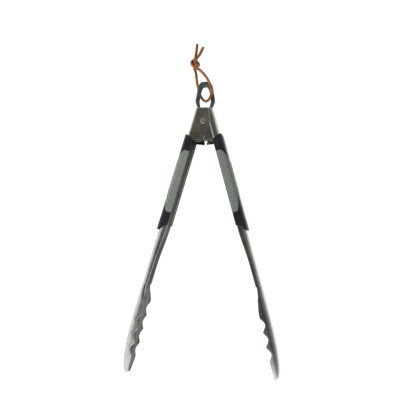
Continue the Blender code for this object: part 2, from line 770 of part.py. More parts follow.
def lock_pins(parent, look):
    """The crossbar through the plate's foot, and the two pins that hold the ring on its tongue."""
    room = INNER_ROOM
    crossbar = cylinder_mesh("lock_crossbar", CROSSBAR_RADIUS, -room, room, 0.0, -CROSSBAR_BELOW, 20)
    add_object("lock_crossbar", crossbar, parent, look)
    half = RING_HALF_THICKNESS - RING_RIVET_SUNK
    for side, name in ((-1, "ring_rivet_left"), (1, "ring_rivet_right")):
        x, y = side * RING_RIVET_OFFSET, ring_rivet_height()
        add_object(name, cylinder_mesh(name, RING_RIVET_RADIUS, -half, half, x, y, 12), parent, look)


# ---------------------------------------------------------------- lanyard


# The loop leaves the knot, crosses over the ring's right leg, passes through the ring, and comes back
# under its left leg. Places are (x, y) from the pivot and the height above the floor, in mm.
LOOP_ROUTE = [
    (-12.7, 81.3, 5.2),
    (-8.3, 76.5, 7.6),
    (-2.9, 69.8, 12.6),
    (3.2, 60.6, 18.6),
    (7.7, 51.6, 20.4),
    (9.8, 43.8, 20.5),
    (8.9, 37.0, 20.4),
    (5.4, 31.6, 18.4),
    (1.2, 30.6, 14.6),
    (-3.0, 33.2, 10.6),
    (-6.8, 38.2, 8.2),
    (-10.2, 46.8, 8.4),
    (-12.5, 55.0, 7.8),
    (-14.3, 65.4, 6.4),
    (-15.6, 73.8, 5.4),
    (-16.4, 79.0, 5.0),
]
KNOT_CENTRE = (-16.9, 88.0, 5.9)
KNOT_RADII = (5.4, 7.2, 5.0)
LONG_TAIL_ROUTE = [(-17.0, 95.8, 5.2), (-16.3, 104.0, 3.4), (-15.9, 111.0, 2.4), (-15.3, 118.0, 2.2)]
SHORT_TAIL_ROUTE = [(-12.9, 95.0, 5.0), (-11.2, 101.5, 3.6), (-8.9, 107.5, 2.5), (-6.4, 113.0, 2.2)]


def from_pivot(place):
    """A place of a route in metres, in the lock's frame."""
    x, y, height = place
    return Vector((x * MM, y * MM, height * MM - MIDDLE))


def lanyard(parent, look):
    """The lace: a loop, a knot in the shape of an egg, and two tails."""
    for name, route in (
        ("lace_loop", LOOP_ROUTE),
        ("lace_tail_long", LONG_TAIL_ROUTE),
        ("lace_tail_short", SHORT_TAIL_ROUTE),
    ):
        path = smooth_path([from_pivot(place) for place in route], LACE_STEP)
        tube(name, path, LACE_RADIUS, parent, look)

    def build(bm):
        bmesh.ops.create_uvsphere(bm, u_segments=16, v_segments=10, radius=1.0)
        bmesh.ops.scale(bm, verts=bm.verts, vec=[r * MM for r in KNOT_RADII])

    knot = add_object("lace_knot", mesh_from("lace_knot", build), parent, look)
    knot.location = from_pivot(KNOT_CENTRE)


# ---------------------------------------------------------------- assembly


def smooth_shade(name, angle):
    target = PARTS.objects[name]
    if target.type == "MESH":
        target.data.shade_smooth()
        target.data.set_sharp_from_angle(angle=angle)


def assemble():
    """Materials, the four frames, the pieces of each, and smooth shading."""
    steel = material("polished_stainless_steel", (0.52, 0.50, 0.46), 0.22, 1.0)
    pin_steel = material("zinc_plated_steel", (0.42, 0.40, 0.36), 0.35, 1.0)
    spring_steel = material("spring_steel", (0.30, 0.30, 0.30), 0.3, 1.0)
    black = material("black_moulded_plastic", (0.014, 0.018, 0.027), 0.45)
    pad = material("grey_green_soft_rubber", (0.20, 0.23, 0.20), 0.7)
    ring_plastic = material("dark_grey_ring_plastic", (0.035, 0.042, 0.045), 0.35)
    leather = material("brown_leather", (0.19, 0.06, 0.02), 0.65)

    root = frame_empty("pivot_frame")
    left = frame_empty("left_hinge", -OPEN_ANGLE)
    right = frame_empty("right_hinge", OPEN_ANGLE)
    lock = frame_empty("lock_frame")

    for side, word, hinge, nested in ((-1, "left", left, False), (1, "right", right, True)):
        steel_arm("arm_" + word, side, hinge, nested, steel)
        grip_shell("grip_shell_" + word, side, hinge, black)
        grip_end("grip_end_" + word, side, hinge, black)
        grip_pad("grip_pad_" + word, side, hinge, pad)

    pivot_pieces(root, pin_steel)
    tube("torsion_spring", spring_points(), WIRE_RADIUS, root, spring_steel)
    lock_plate(lock, steel)
    pull_ring(lock, ring_plastic)
    lock_pins(lock, pin_steel)
    lanyard(lock, leather)

    for made in PARTS.objects:
        smooth_shade(made.name, math.radians(35))


assemble()
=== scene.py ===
"""Spring-loaded kitchen tongs on a pale table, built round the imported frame.

The tongs lie flat with the arms sprung open, +Y from the jaws to the pull ring. Lengths are in metres.
"""

import json
import math

import bmesh
import bpy
import numpy as np
from mathutils import Matrix, Vector


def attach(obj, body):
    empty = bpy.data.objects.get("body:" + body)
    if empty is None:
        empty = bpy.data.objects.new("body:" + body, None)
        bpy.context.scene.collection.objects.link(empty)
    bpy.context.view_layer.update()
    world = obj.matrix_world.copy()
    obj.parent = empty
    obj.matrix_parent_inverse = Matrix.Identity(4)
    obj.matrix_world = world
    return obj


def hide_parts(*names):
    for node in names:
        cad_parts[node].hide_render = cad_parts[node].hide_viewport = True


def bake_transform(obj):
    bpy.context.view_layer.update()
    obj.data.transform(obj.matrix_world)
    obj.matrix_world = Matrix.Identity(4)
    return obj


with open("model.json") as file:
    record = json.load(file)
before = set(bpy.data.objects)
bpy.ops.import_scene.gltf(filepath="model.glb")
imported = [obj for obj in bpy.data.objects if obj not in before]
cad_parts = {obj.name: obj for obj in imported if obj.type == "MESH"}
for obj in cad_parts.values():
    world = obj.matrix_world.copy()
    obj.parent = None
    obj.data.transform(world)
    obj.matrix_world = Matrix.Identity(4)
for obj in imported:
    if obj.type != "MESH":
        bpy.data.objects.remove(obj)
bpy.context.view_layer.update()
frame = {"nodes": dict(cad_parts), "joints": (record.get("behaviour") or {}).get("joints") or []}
MM = 0.001

# ------------------------------------------------------------------------------------------------
# Camera. It looks almost straight down on the table, a little from the right and from the jaws' end. It aims
# beside the middle of the tongs, so that the ring and the lace have room above.

hinge = next(j for j in frame["joints"] if j["type"] == "hinge")
PIVOT = Vector(hinge["pos_m"])
AIM = PIVOT + Vector((6.4, -117.1, 0.0)) * MM
CAMERA_YAW = math.radians(9.6)
CAMERA_PITCH = math.radians(6.1)
CAMERA_ROLL = math.radians(1.0)
CAMERA_DISTANCE = 742 * MM
VIEW_WIDTH = 559.5 * MM  # of the plane through the aim
SENSOR_WIDTH = 36.0

camera = bpy.data.objects.new("camera", bpy.data.cameras.new("camera"))
bpy.context.scene.collection.objects.link(camera)
bpy.context.scene.camera = camera
level = math.cos(CAMERA_PITCH)
away = Vector((math.sin(CAMERA_YAW) * level, -math.sin(CAMERA_PITCH), math.cos(CAMERA_YAW) * level))
right = Vector((0.0, 1.0, 0.0)).cross(away).normalized()
up = away.cross(right)
turned_right = math.cos(CAMERA_ROLL) * right + math.sin(CAMERA_ROLL) * up
turned_up = math.cos(CAMERA_ROLL) * up - math.sin(CAMERA_ROLL) * right
turned = Matrix((turned_right, turned_up, away)).transposed().to_4x4()
camera.matrix_world = Matrix.Translation(AIM + away * CAMERA_DISTANCE) @ turned
camera.data.sensor_width = SENSOR_WIDTH
camera.data.lens = SENSOR_WIDTH * CAMERA_DISTANCE / VIEW_WIDTH
camera.data.clip_start = 0.01

# ------------------------------------------------------------------------------------------------
# Hanging lace. A round brown leather lace, about 4 mm thick, goes once through the pull ring. One end is
# tied round the other in an overhand knot, and both ends are left as short tails.

LACE_DIAMETER = 3.9 * MM
FLOOR_Z = 0.0


def linear(code):
    """An sRGB hex colour as linear red, green, blue and alpha."""
    values = np.array([int(code[k : k + 2], 16) for k in (1, 3, 5)]) / 255
    curve = np.where(values <= 0.04045, values / 12.92, ((values + 0.055) / 1.055) ** 2.4)
    return (*curve.tolist(), 1.0)


def add_node(tree, kind, links=(), **settings):
    """Adds one node, sets its properties, and fills its inputs (by name or number) with values or links."""
    node = tree.nodes.new(kind)
    for name, value in settings.pop("inputs", {}).items():
        node.inputs[name].default_value = value
    for name, value in settings.items():
        setattr(node, name, value)
    for name, socket in dict(links).items():
        tree.links.new(socket, node.inputs[name])
    return node


def new_material(name, **values):
    """A Principled material with its uniform values set on the shader's own sockets."""
    made = bpy.data.materials.new(name)
    made.use_nodes = True
    shader = made.node_tree.nodes["Principled BSDF"]
    for socket, value in values.items():
        shader.inputs[socket.replace("_", " ")].default_value = value
    return made, made.node_tree, shader


def smooth_route(points, spacing):
    """A Catmull-Rom curve through the points, sampled at about the spacing, as an (n, 3) array."""
    points = np.array(points, float)
    padded = np.vstack([2 * points[0] - points[1], points, 2 * points[-1] - points[-2]])
    runs = []
    for k in range(len(points) - 1):
        a, b, c, d = padded[k : k + 4]
        count = max(2, int(round(np.linalg.norm(c - b) / spacing)))
        t = np.arange(count)[:, None] / count
        runs.append(
            0.5 * (2 * b + (c - a) * t + (2 * a - 5 * b + 4 * c - d) * t**2 + (3 * b - a - 3 * c + d) * t**3)
        )
    return np.vstack([*runs, points[-1:]])


def along(points):
    """Distance run along a line of points."""
    steps = np.linalg.norm(np.diff(points, axis=0), axis=1)
    return np.concatenate([[0.0], np.cumsum(steps)])


def solid_from_rings(name, rings, material, angle=35):
    """A closed body from rings of points: ring i joins ring i + 1, and each ring closes on itself.

    The first and last rings are folded flat or shrunk to a point, so welding them closes the ends.
    """
    n, m = rings.shape[:2]
    i, j = np.meshgrid(np.arange(n - 1), np.arange(m), indexing="ij")
    k = (j + 1) % m
    quads = np.stack([i * m + j, (i + 1) * m + j, (i + 1) * m + k, i * m + k], axis=-1).reshape(-1, 4)
    mesh = bpy.data.meshes.new(name)
    mesh.from_pydata(rings.reshape(-1, 3).tolist(), [], quads.tolist())
    work = bmesh.new()
    work.from_mesh(mesh)
    bmesh.ops.remove_doubles(work, verts=work.verts, dist=1e-7)
    bmesh.ops.dissolve_degenerate(work, edges=work.edges, dist=1e-8)
    if work.calc_volume(signed=True) < 0:
        bmesh.ops.reverse_faces(work, faces=work.faces)
    work.to_mesh(mesh)
    work.free()
    mesh.shade_smooth()
    mesh.set_sharp_from_angle(angle=math.radians(angle))
    mesh.materials.append(material)
    made = bpy.data.objects.new(name, mesh)
    bpy.context.scene.collection.objects.link(made)
    return made


def tube_rings(path, radii, sides=16, power=2.0, flat=1.0):
    """Rings carried along a path: at each point a superellipse of that power stands square to the path.

    The rings' own axes are carried from point to point with no twist. Each end is bevelled and closed.
    """
    path = np.array(path, float)
    radii = np.broadcast_to(radii, len(path)).copy()
    tangent = np.gradient(path, axis=0)
    tangent /= np.linalg.norm(tangent, axis=1)[:, None]
    side = np.cross(tangent[0], [0.0, 0.0, 1.0])
    sides_along = []
    for direction in tangent:
        side = side - direction * (side @ direction)
        side = side / np.linalg.norm(side)
        sides_along.append(side)
    across = np.array(sides_along)
    upward = np.cross(across, tangent)
    angle = np.arange(sides) * 2 * math.pi / sides
    c, s = np.cos(angle), np.sin(angle)
    x = np.sign(c) * np.abs(c) ** (2 / power)
    y = np.sign(s) * np.abs(s) ** (2 / power) * flat
    ring = x[None, :, None] * across[:, None] + y[None, :, None] * upward[:, None]
    body = path[:, None] + radii[:, None, None] * ring
    bevel, crown = 0.18, 1.2  # of the radius, and of the bevel
    first = path[0] + (body[0] - path[0]) * (1 - bevel) - tangent[0] * radii[0] * bevel
    last = path[-1] + (body[-1] - path[-1]) * (1 - bevel) + tangent[-1] * radii[-1] * bevel
    tip_first = np.broadcast_to(path[0] - tangent[0] * radii[0] * bevel * crown, first.shape)
    tip_last = np.broadcast_to(path[-1] + tangent[-1] * radii[-1] * bevel * crown, last.shape)
    return np.stack([tip_first, first, *body, last, tip_last])


# vegetable-tanned leather, waxed and rubbed: tan with darker blotches, fine pores and a low wax gloss
lace_leather, tree, shader = new_material("waxed_brown_leather", Roughness=0.52, Specular_IOR_Level=0.45)
place = add_node(tree, "ShaderNodeTexCoord")
grain = add_node(
    tree,
    "ShaderNodeTexNoise",
    {"Vector": place.outputs["Object"]},
    inputs={"Scale": 1 / (1.6 * MM), "Detail": 6.0, "Roughness": 0.65},
)
patches = add_node(
    tree,
    "ShaderNodeTexNoise",
    {"Vector": place.outputs["Object"]},
    inputs={"Scale": 1 / (9 * MM), "Detail": 2.0},
)
blotch = add_node(
    tree, "ShaderNodeMath", {0: grain.outputs["Fac"], 1: patches.outputs["Fac"]}, operation="ADD"
)
halve = add_node(tree, "ShaderNodeMath", {0: blotch.outputs[0]}, operation="MULTIPLY", inputs={1: 0.5})
tan = add_node(tree, "ShaderNodeValToRGB", {"Fac": halve.outputs[0]})
tan.color_ramp.elements[0].position = 0.28
tan.color_ramp.elements[0].color = linear("#35180a")
tan.color_ramp.elements[1].position = 0.72
tan.color_ramp.elements[1].color = linear("#bd7d45")
middle = tan.color_ramp.elements.new(0.5)
middle.color = linear("#7d4722")
tree.links.new(tan.outputs["Color"], shader.inputs["Base Color"])
pores = add_node(
    tree,
    "ShaderNodeTexVoronoi",
    {"Vector": place.outputs["Object"]},
    inputs={"Scale": 1 / (0.7 * MM)},
)
skin = add_node(
    tree,
    "ShaderNodeBump",
    {"Height": pores.outputs["Distance"]},
    inputs={"Strength": 0.5, "Distance": 0.12 * MM},
)
tree.links.new(skin.outputs["Normal"], shader.inputs["Normal"])


def from_pivot(places):
    """Places written as (x, y) from the pivot and the height above the table, in mm."""
    return [(x * MM, PIVOT.y + y * MM, FLOOR_Z + z * MM) for x, y, z in places]


LONG_TAIL = [(-15.3, 118.0, 2.2), (-15.9, 111.0, 2.4), (-16.3, 104.0, 3.4), (-16.9, 97.0, 5.4)]
# the tying end comes out of its own turn, goes under the other end, and leaves over it towards the ring
KNOT_TURN = [
    (-17.3, 93.6, 8.2),
    (-16.1, 88.4, 9.8),
    (-13.2, 84.2, 8.2),
    (-11.8, 86.0, 4.6),
    (-14.0, 90.4, 2.6),
    (-18.4, 94.0, 2.4),
    (-21.8, 92.2, 4.8),
    (-21.9, 87.4, 7.8),
    (-18.8, 83.0, 9.6),
    (-14.8, 80.4, 9.0),
]
LOOP = [
    (-10.8, 78.6, 8.0),
    (-8.3, 76.5, 8.2),
    (-2.9, 69.8, 12.6),
    (3.2, 60.6, 18.6),
    (7.7, 51.6, 20.4),
    (9.8, 43.8, 20.5),
    (8.9, 37.0, 20.4),
    (5.4, 31.6, 18.4),
    (1.2, 30.6, 14.6),
    (-3.0, 33.2, 10.6),
    (-6.8, 38.2, 8.2),
    (-10.2, 46.8, 8.4),
    (-12.5, 55.0, 7.8),
    (-14.3, 65.4, 6.4),
    (-15.6, 73.8, 5.4),
    (-18.0, 80.6, 4.8),
]
SHORT_TAIL = [
    (-19.0, 86.0, 5.4),
    (-18.2, 91.2, 5.4),
    (-15.2, 96.2, 4.8),
    (-11.4, 101.7, 3.6),
    (-8.9, 107.5, 2.5),
    (-6.4, 113.0, 2.2),
]
lace_line = smooth_route(from_pivot(LONG_TAIL + KNOT_TURN + LOOP + SHORT_TAIL), spacing=0.9 * MM)
lace_rings = tube_rings(lace_line, LACE_DIAMETER / 2, sides=16, power=2.4, flat=0.92)
lace = solid_from_rings("hanging_lace", lace_rings, lace_leather, angle=60)
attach(lace, "lock")
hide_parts("lace_loop", "lace_knot", "lace_tail_long", "lace_tail_short")

# ------------------------------------------------------------------------------------------------
# Steel arms. Each is one strip of 1 mm stainless sheet pressed into a channel: cheeks at the head, a plain
# shank with a hemmed edge, and a scooped jaw whose side walls are cut into blunt teeth. They are polished.

OPEN_ANGLE = math.radians(15.8)
ARM_REACH = 351 * MM
SHEET = 1.0 * MM
JOGGLE = 1.3 * MM  # the right arm's cheeks nest inside the left arm's
JOGGLE_RUN = 1.5 * MM
JOGGLE_LINE = np.array([10.6, 8.75, 6.9, 6.9, 7.3]) * MM  # from the head's top down to its shoulder
JOGGLE_FADE = 8 * MM  # beyond the shoulder
# the back of the channel stands this far from the plane where the arms meet
HEAD_BACK = 16.0 * MM
SHANK_BACK = 16.6 * MM
JAW_BACK = 16.2 * MM
TIP_BACK = 4.4 * MM
SHANK_RUN = 20 * MM
JAW_RUN = 40 * MM
BACK_TAPER = 89 * MM
BACK_CROWN = 0.35 * MM
# half of the channel's depth
HALF_DEPTH = 11.75 * MM
JAW_HALF_DEPTH = 13.3 * MM
JAW_SPREAD = 20.0 * MM
TIP_HALF_DEPTH = 5.0 * MM
DEPTH_TAPER = 66 * MM
# the channel's corners
CORNER = 3.5 * MM
SOFT_CORNER = 7.5 * MM  # its reach across the side wall, beyond the grip
SOFT_RUN = 25 * MM
# the head's cheeks
HEAD_TOP = 18.1 * MM
CHEEK_BREAK = 0.55  # of the way up to the top
CHEEK_LAP = 5.8 * MM
HEAD_FOOT = 25.5 * MM
FOOT_RUN = 6 * MM
LOWER_FOOT_DROP = 1.8 * MM
NOTCH_AT = 21.6 * MM
NOTCH_RADIUS = 1.9 * MM
# the inner edge of the side walls
GRIP_EDGE = 7.0 * MM
SHANK_EDGE = 9.7 * MM
GRIP_END = 157.0 * MM
HEAD_SHOULDER = HEAD_FOOT + (GRIP_EDGE + CHEEK_LAP) * math.tan(OPEN_ANGLE)
HEM_THICKNESS = 0.8 * MM
HEM_WIDTH = (1.2 * MM, 2.0 * MM)  # flat, then faded out
JAW_START = ARM_REACH - 118.5 * MM
LIP_STEP = 0.9 * MM
JAW_EDGE = 4.2 * MM
TIP_EDGE = 1.8 * MM
TOOTH_PITCH = 18.75 * MM
UPPER_TEETH = (80 * MM, 3, 4.6 * MM)  # how far before the tip they start, how many, and how deep
LOWER_TEETH = (95.5 * MM, 4, 3.0 * MM)


def arm_to_world(points, side):
    """Arm places (u outwards, s towards the tip, z from the middle plane) swung open about the pivot."""
    u, s, z = points[..., 0], points[..., 1], points[..., 2]
    x = u * math.cos(OPEN_ANGLE) + s * math.sin(OPEN_ANGLE)
    y = u * math.sin(OPEN_ANGLE) - s * math.cos(OPEN_ANGLE)
    return np.stack([side * x + PIVOT.x, y + PIVOT.y, z + PIVOT.z], axis=-1)


def ease(value, start, end):
    """0 before start, 1 after end, a smooth cubic between."""
    t = np.clip((np.asarray(value, float) - start) / (end - start), 0.0, 1.0)
    return t * t * (3 - 2 * t)


def mix(a, b, t):
    """A straight mix: a where t is 0 and b where it is 1."""
    return a + (b - a) * t


def back_line(s):
    """Distance of the arm's back from the closing plane: straight, then a superellipse down to the tip."""
    back = mix(HEAD_BACK, SHANK_BACK, ease(s, HEAD_SHOULDER, HEAD_SHOULDER + SHANK_RUN))
    back = mix(back, JAW_BACK, ease(s, JAW_START, JAW_START + JAW_RUN))
    t = np.clip((s - (ARM_REACH - BACK_TAPER)) / BACK_TAPER, 0.0, 1.0)
    return TIP_BACK + (back - TIP_BACK) * np.sqrt(1 - t**2.3)


def depth_line(s):
    """Half of the channel's depth: it widens into the jaw and closes like a spoon at the tip."""
    depth = mix(HALF_DEPTH, JAW_HALF_DEPTH, ease(s, JAW_START, JAW_START + JAW_SPREAD))
    t = np.clip((s - (ARM_REACH - DEPTH_TAPER)) / DEPTH_TAPER, 0.0, 1.0)
    return TIP_HALF_DEPTH + (depth - TIP_HALF_DEPTH) * np.sqrt(1 - t**2.6)


def edge_line(s, first, count, depth):
    """Inner edge of a side wall below the head: straight, a square step, then notches shaped by a sine."""
    shank = mix(GRIP_EDGE, SHANK_EDGE, ease(s, GRIP_END - 5 * MM, GRIP_END + 50 * MM))
    start = ARM_REACH - first
    end = start + count * TOOTH_PITCH
    jaw = mix(SHANK_EDGE + LIP_STEP, JAW_EDGE, ease(s, JAW_START, start))
    jaw = mix(jaw, TIP_EDGE, ease(s, start, end))
    phase = np.clip((s - start) / TOOTH_PITCH, 0.0, count)
    jaw = jaw + depth * np.abs(np.sin(math.pi * phase)) ** 1.4
    return np.where(s < JAW_START, shank, jaw)


def cheek_edge(s):
    """Inner edge of a cheek: it slopes out past the closing plane, runs straight, and turns back at the foot.

    A round notch is taken out of the straight part.
    """
    top = HEAD_TOP / math.cos(OPEN_ANGLE)
    edge = np.interp(
        s,
        [-top, -CHEEK_BREAK * top, 0.0, HEAD_FOOT, HEAD_SHOULDER],
        [0.0, -CHEEK_BREAK * CHEEK_LAP, -CHEEK_LAP, -CHEEK_LAP, GRIP_EDGE],
    )
    notch = NOTCH_RADIUS**2 - (s - NOTCH_AT) ** 2
    return np.where(notch > 0, np.maximum(edge, -CHEEK_LAP + np.sqrt(np.maximum(notch, 0.0))), edge)


def arm_stations():
    """Distances along the arm where its sections stand: close in the head, the teeth and the tip."""
    top = HEAD_TOP / math.cos(OPEN_ANGLE)
    head = np.linspace(-top, NOTCH_AT - NOTCH_RADIUS - 0.4 * MM, 40)
    notch = np.linspace(NOTCH_AT - NOTCH_RADIUS, NOTCH_AT + NOTCH_RADIUS, 17)
    foot = np.linspace(NOTCH_AT + NOTCH_RADIUS + 0.4 * MM, HEAD_FOOT, 5)
    turn = np.linspace(HEAD_FOOT, HEAD_SHOULDER, 14)[1:]
    shank = np.linspace(HEAD_SHOULDER + 4 * MM, JAW_START - 0.6 * MM, 50)
    jaw = np.linspace(JAW_START, ARM_REACH - 8 * MM, 150)
    tip = ARM_REACH - 8 * MM * (1 - np.linspace(0, 1, 17)[1:]) ** 2
    return np.concatenate([head, notch, foot, turn, shank, [JAW_START - 0.15 * MM], jaw, tip])


def arm_surface(nested):
    """The outer surface of an arm as a grid: stations along it, and across it the upper wall, corner, back,
    corner and lower wall. A nested arm's walls step in by a smooth ramp inside its joggle line."""
    s = arm_stations()
    head = s < HEAD_SHOULDER + 1e-6
    upper = np.where(head, cheek_edge(s), edge_line(s, *UPPER_TEETH))
    lower = np.where(head, cheek_edge(s), edge_line(s, *LOWER_TEETH))
    back, depth = back_line(s), depth_line(s)
    top = HEAD_TOP / math.cos(OPEN_ANGLE)
    # stations at the head's top stand square to the tongs, not to the arm
    slant = math.tan(OPEN_ANGLE) * np.interp(s, [-top, -CHEEK_BREAK * top, 0.0], [1.0, 0.3, 0.0])
    drop = LOWER_FOOT_DROP * ease(s, HEAD_FOOT - FOOT_RUN, HEAD_FOOT) * head
    corner = np.minimum(CORNER, 0.5 * (back - np.maximum(upper, lower)))
    corner = np.maximum(corner, 0.5 * (TIP_BACK - TIP_EDGE))
    reach = mix(CORNER, SOFT_CORNER, ease(s, GRIP_END - SOFT_RUN, GRIP_END))
    reach = np.maximum(np.minimum(reach, 0.8 * (back - np.maximum(upper, lower))), corner)
    # each wall is three strips of six columns, and the last strip's last column is the corner's start
    third = np.arange(18) // 6
    part = (np.arange(18) % 6)[None, :] / np.where(third == 2, 5, 6)
    turn = np.linspace(0.0, math.pi / 2, 13)[1:]
    step_line = np.interp(s, [-top, -CHEEK_BREAK * top, 0.0, HEAD_FOOT, HEAD_SHOULDER], JOGGLE_LINE)
    joggled = (1 - ease(s, HEAD_SHOULDER, HEAD_SHOULDER + JOGGLE_FADE)) * nested

    def half(edge, sign):
        width = back - reach - edge
        near = edge + mix(np.minimum(1.2 * MM, width / 3), step_line - edge, joggled)
        far = mix(edge + np.minimum(2.0 * MM, width * 2 / 3), step_line + JOGGLE_RUN, joggled)
        knots = np.stack([edge, near, far, back - reach], axis=1)
        u_wall = mix(knots[:, third], knots[:, third + 1], part)
        inside = 1 - ease(u_wall, step_line[:, None], step_line[:, None] + JOGGLE_RUN)
        z_wall = depth[:, None] - JOGGLE * inside * joggled[:, None]
        u_turn = (back - reach)[:, None] + reach[:, None] * np.sin(turn)
        z_turn = (depth - corner)[:, None] + corner[:, None] * np.cos(turn)
        return np.concatenate([u_wall, u_turn], axis=1), sign * np.concatenate([z_wall, z_turn], axis=1)

    u_up, z_up = half(upper, 1)
    u_low, z_low = half(lower, -1)
    flat = np.linspace(1.0, -1.0, 11)[1:-1]
    z_back = (depth - corner)[:, None] * flat
    crown = BACK_CROWN * ease(s, HEAD_SHOULDER, HEAD_SHOULDER + SHANK_RUN)
    u_back = back[:, None] + crown[:, None] * (1 - flat**2)
    u = np.concatenate([u_up, u_back, u_low[:, ::-1]], axis=1)
    z = np.concatenate([z_up, z_back, z_low[:, ::-1]], axis=1)
    s_all = s[:, None] + slant[:, None] * u + np.where(z < 0, drop[:, None] * (1 - u / HEAD_BACK), 0.0)
    return np.stack([u, s_all, z], axis=-1), s


def grid_normals(grid):
    """Unit normals of a grid, as the cross product of its two directions."""
    rows, columns = np.gradient(grid, axis=0), np.gradient(grid, axis=1)
    normal = np.cross(rows, columns)
    return normal / np.maximum(np.linalg.norm(normal, axis=-1), 1e-12)[..., None]


def sheet_rings(outer, thickness, rim):
    """Rings round a sheet: its outer surface, a rounded edge, its inner surface and the other rounded edge.

    The inner surface lies a thickness inwards along the normals, and the edges stand out by rim times that.
    The end rings fold onto the middle of the sheet.
    """
    normal = grid_normals(outer)
    thickness = np.broadcast_to(thickness, outer.shape[:2])
    inner = outer + normal * thickness[..., None]
    middle = (outer + inner) / 2

    def edge(column, neighbour):
        run = middle[:, column] - middle[:, neighbour]
        run /= np.linalg.norm(run, axis=1)[:, None]
        t = thickness[:, column, None]
        around = []
        for angle in np.linspace(math.pi / 2, -math.pi / 2, 7)[1:-1]:
            out = run * t * rim * math.cos(angle)
            across = (outer[:, column] - middle[:, column]) * math.sin(angle)
            around.append(middle[:, column] + out + across)
        return around

    low_edge, high_edge = edge(0, 1), edge(-1, -2)
    ring = [outer, np.stack(high_edge, axis=1), inner[:, ::-1], np.stack(low_edge[::-1], axis=1)]
    ring = np.concatenate(ring, axis=1)
    high_fold = np.repeat(middle[:, -1:], len(high_edge), axis=1)
    low_fold = np.repeat(middle[:, :1], len(low_edge), axis=1)
    fold = np.concatenate([middle, high_fold, middle[:, ::-1], low_fold], axis=1)

    def close(index, neighbour):
        run = fold[index] - fold[neighbour]
        run /= np.maximum(np.linalg.norm(run, axis=1), 1e-12)[:, None]
        reach = run * thickness.max() * rim
        return [mix(ring[index], fold[index], 0.35) + reach * 0.7, fold[index] + reach]

    return np.stack([*close(0, 1)[::-1], *ring, *close(-1, -2)])


def polished_steel(name, hexes, turn):
    """Stainless sheet, polished with a fine belt in one direction: hair lines, smears and shallow waves.

    The hair lines are drawn 0.5 mm apart, coarser than the belt leaves them, so that they show.
    """
    made, tree, shader = new_material(name, Metallic=1.0, Roughness=0.2)
    place = add_node(tree, "ShaderNodeTexCoord")
    line_up = add_node(
        tree, "ShaderNodeMapping", {"Vector": place.outputs["Object"]}, inputs={"Rotation": (0.0, 0.0, turn)}
    )
    stretch = add_node(
        tree, "ShaderNodeMapping", {"Vector": line_up.outputs["Vector"]}, inputs={"Scale": (1.0, 0.02, 1.0)}
    )
    lines = add_node(
        tree,
        "ShaderNodeTexNoise",
        {"Vector": stretch.outputs["Vector"]},
        inputs={"Scale": 1 / (0.5 * MM), "Detail": 5.0, "Roughness": 0.7},
    )
    smears = add_node(
        tree,
        "ShaderNodeTexNoise",
        {"Vector": place.outputs["Object"]},
        inputs={"Scale": 1 / (22 * MM), "Detail": 3.0, "Roughness": 0.6},
    )
    tint = add_node(tree, "ShaderNodeValToRGB", {"Fac": smears.outputs["Fac"]})
    tint.color_ramp.elements[0].position = 0.3
    tint.color_ramp.elements[0].color = linear(hexes[0])
    tint.color_ramp.elements[1].position = 0.7
    tint.color_ramp.elements[1].color = linear(hexes[1])
    tree.links.new(tint.outputs["Color"], shader.inputs["Base Color"])
    rough_lines = add_node(
        tree, "ShaderNodeMapRange", {"Value": lines.outputs["Fac"]}, inputs={"To Min": 0.1, "To Max": 0.24}
    )
    rough_smears = add_node(
        tree,
        "ShaderNodeMapRange",
        {"Value": smears.outputs["Fac"]},
        inputs={"From Min": 0.35, "From Max": 0.75, "To Min": 0.0, "To Max": 0.1},
    )
    total = add_node(
        tree, "ShaderNodeMath", {0: rough_lines.outputs[0], 1: rough_smears.outputs[0]}, operation="ADD"
    )
    tree.links.new(total.outputs[0], shader.inputs["Roughness"])
    brushed = add_node(
        tree,
        "ShaderNodeBump",
        {"Height": lines.outputs["Fac"]},
        inputs={"Strength": 0.12, "Distance": 0.02 * MM},
    )
    waves = add_node(
        tree,
        "ShaderNodeTexNoise",
        {"Vector": place.outputs["Object"]},
        inputs={"Scale": 1 / (14 * MM), "Detail": 1.0},
    )
    pressed = add_node(
        tree,
        "ShaderNodeBump",
        {"Height": waves.outputs["Fac"], "Normal": brushed.outputs["Normal"]},
        inputs={"Strength": 0.25, "Distance": 0.25 * MM},
    )
    tree.links.new(pressed.outputs["Normal"], shader.inputs["Normal"])
    return made


SIDES = ((-1, "left"), (1, "right"))
for side, word in SIDES:
    steel = polished_steel("polished_stainless_" + word, ("#a5a4a1", "#bcbbb8"), -side * OPEN_ANGLE)
    surface, stations = arm_surface(nested=side > 0)
    hemmed = ease(stations, 40 * MM, 60 * MM) * (stations < JAW_START - 0.3 * MM)
    u = surface[..., 0]
    edge_u = np.where(surface[..., 2] > 0, u[:, :1], u[:, -1:])
    hem = HEM_THICKNESS * (1 - ease(u - edge_u, *HEM_WIDTH)) * hemmed[:, None]
    rings = sheet_rings(surface, SHEET + hem, 0.42)
    arm = solid_from_rings("steel_arm_" + word, arm_to_world(rings, side), steel, angle=40)
    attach(arm, word + "_arm")
    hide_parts("arm_" + word)

# ------------------------------------------------------------------------------------------------
# Pivot. A plated steel rivet through both arms, with a domed and dimpled head in front, a washer under its
# formed tail, and a sleeve that keeps the cheeks apart. A torsion spring of round wire sits on the sleeve.

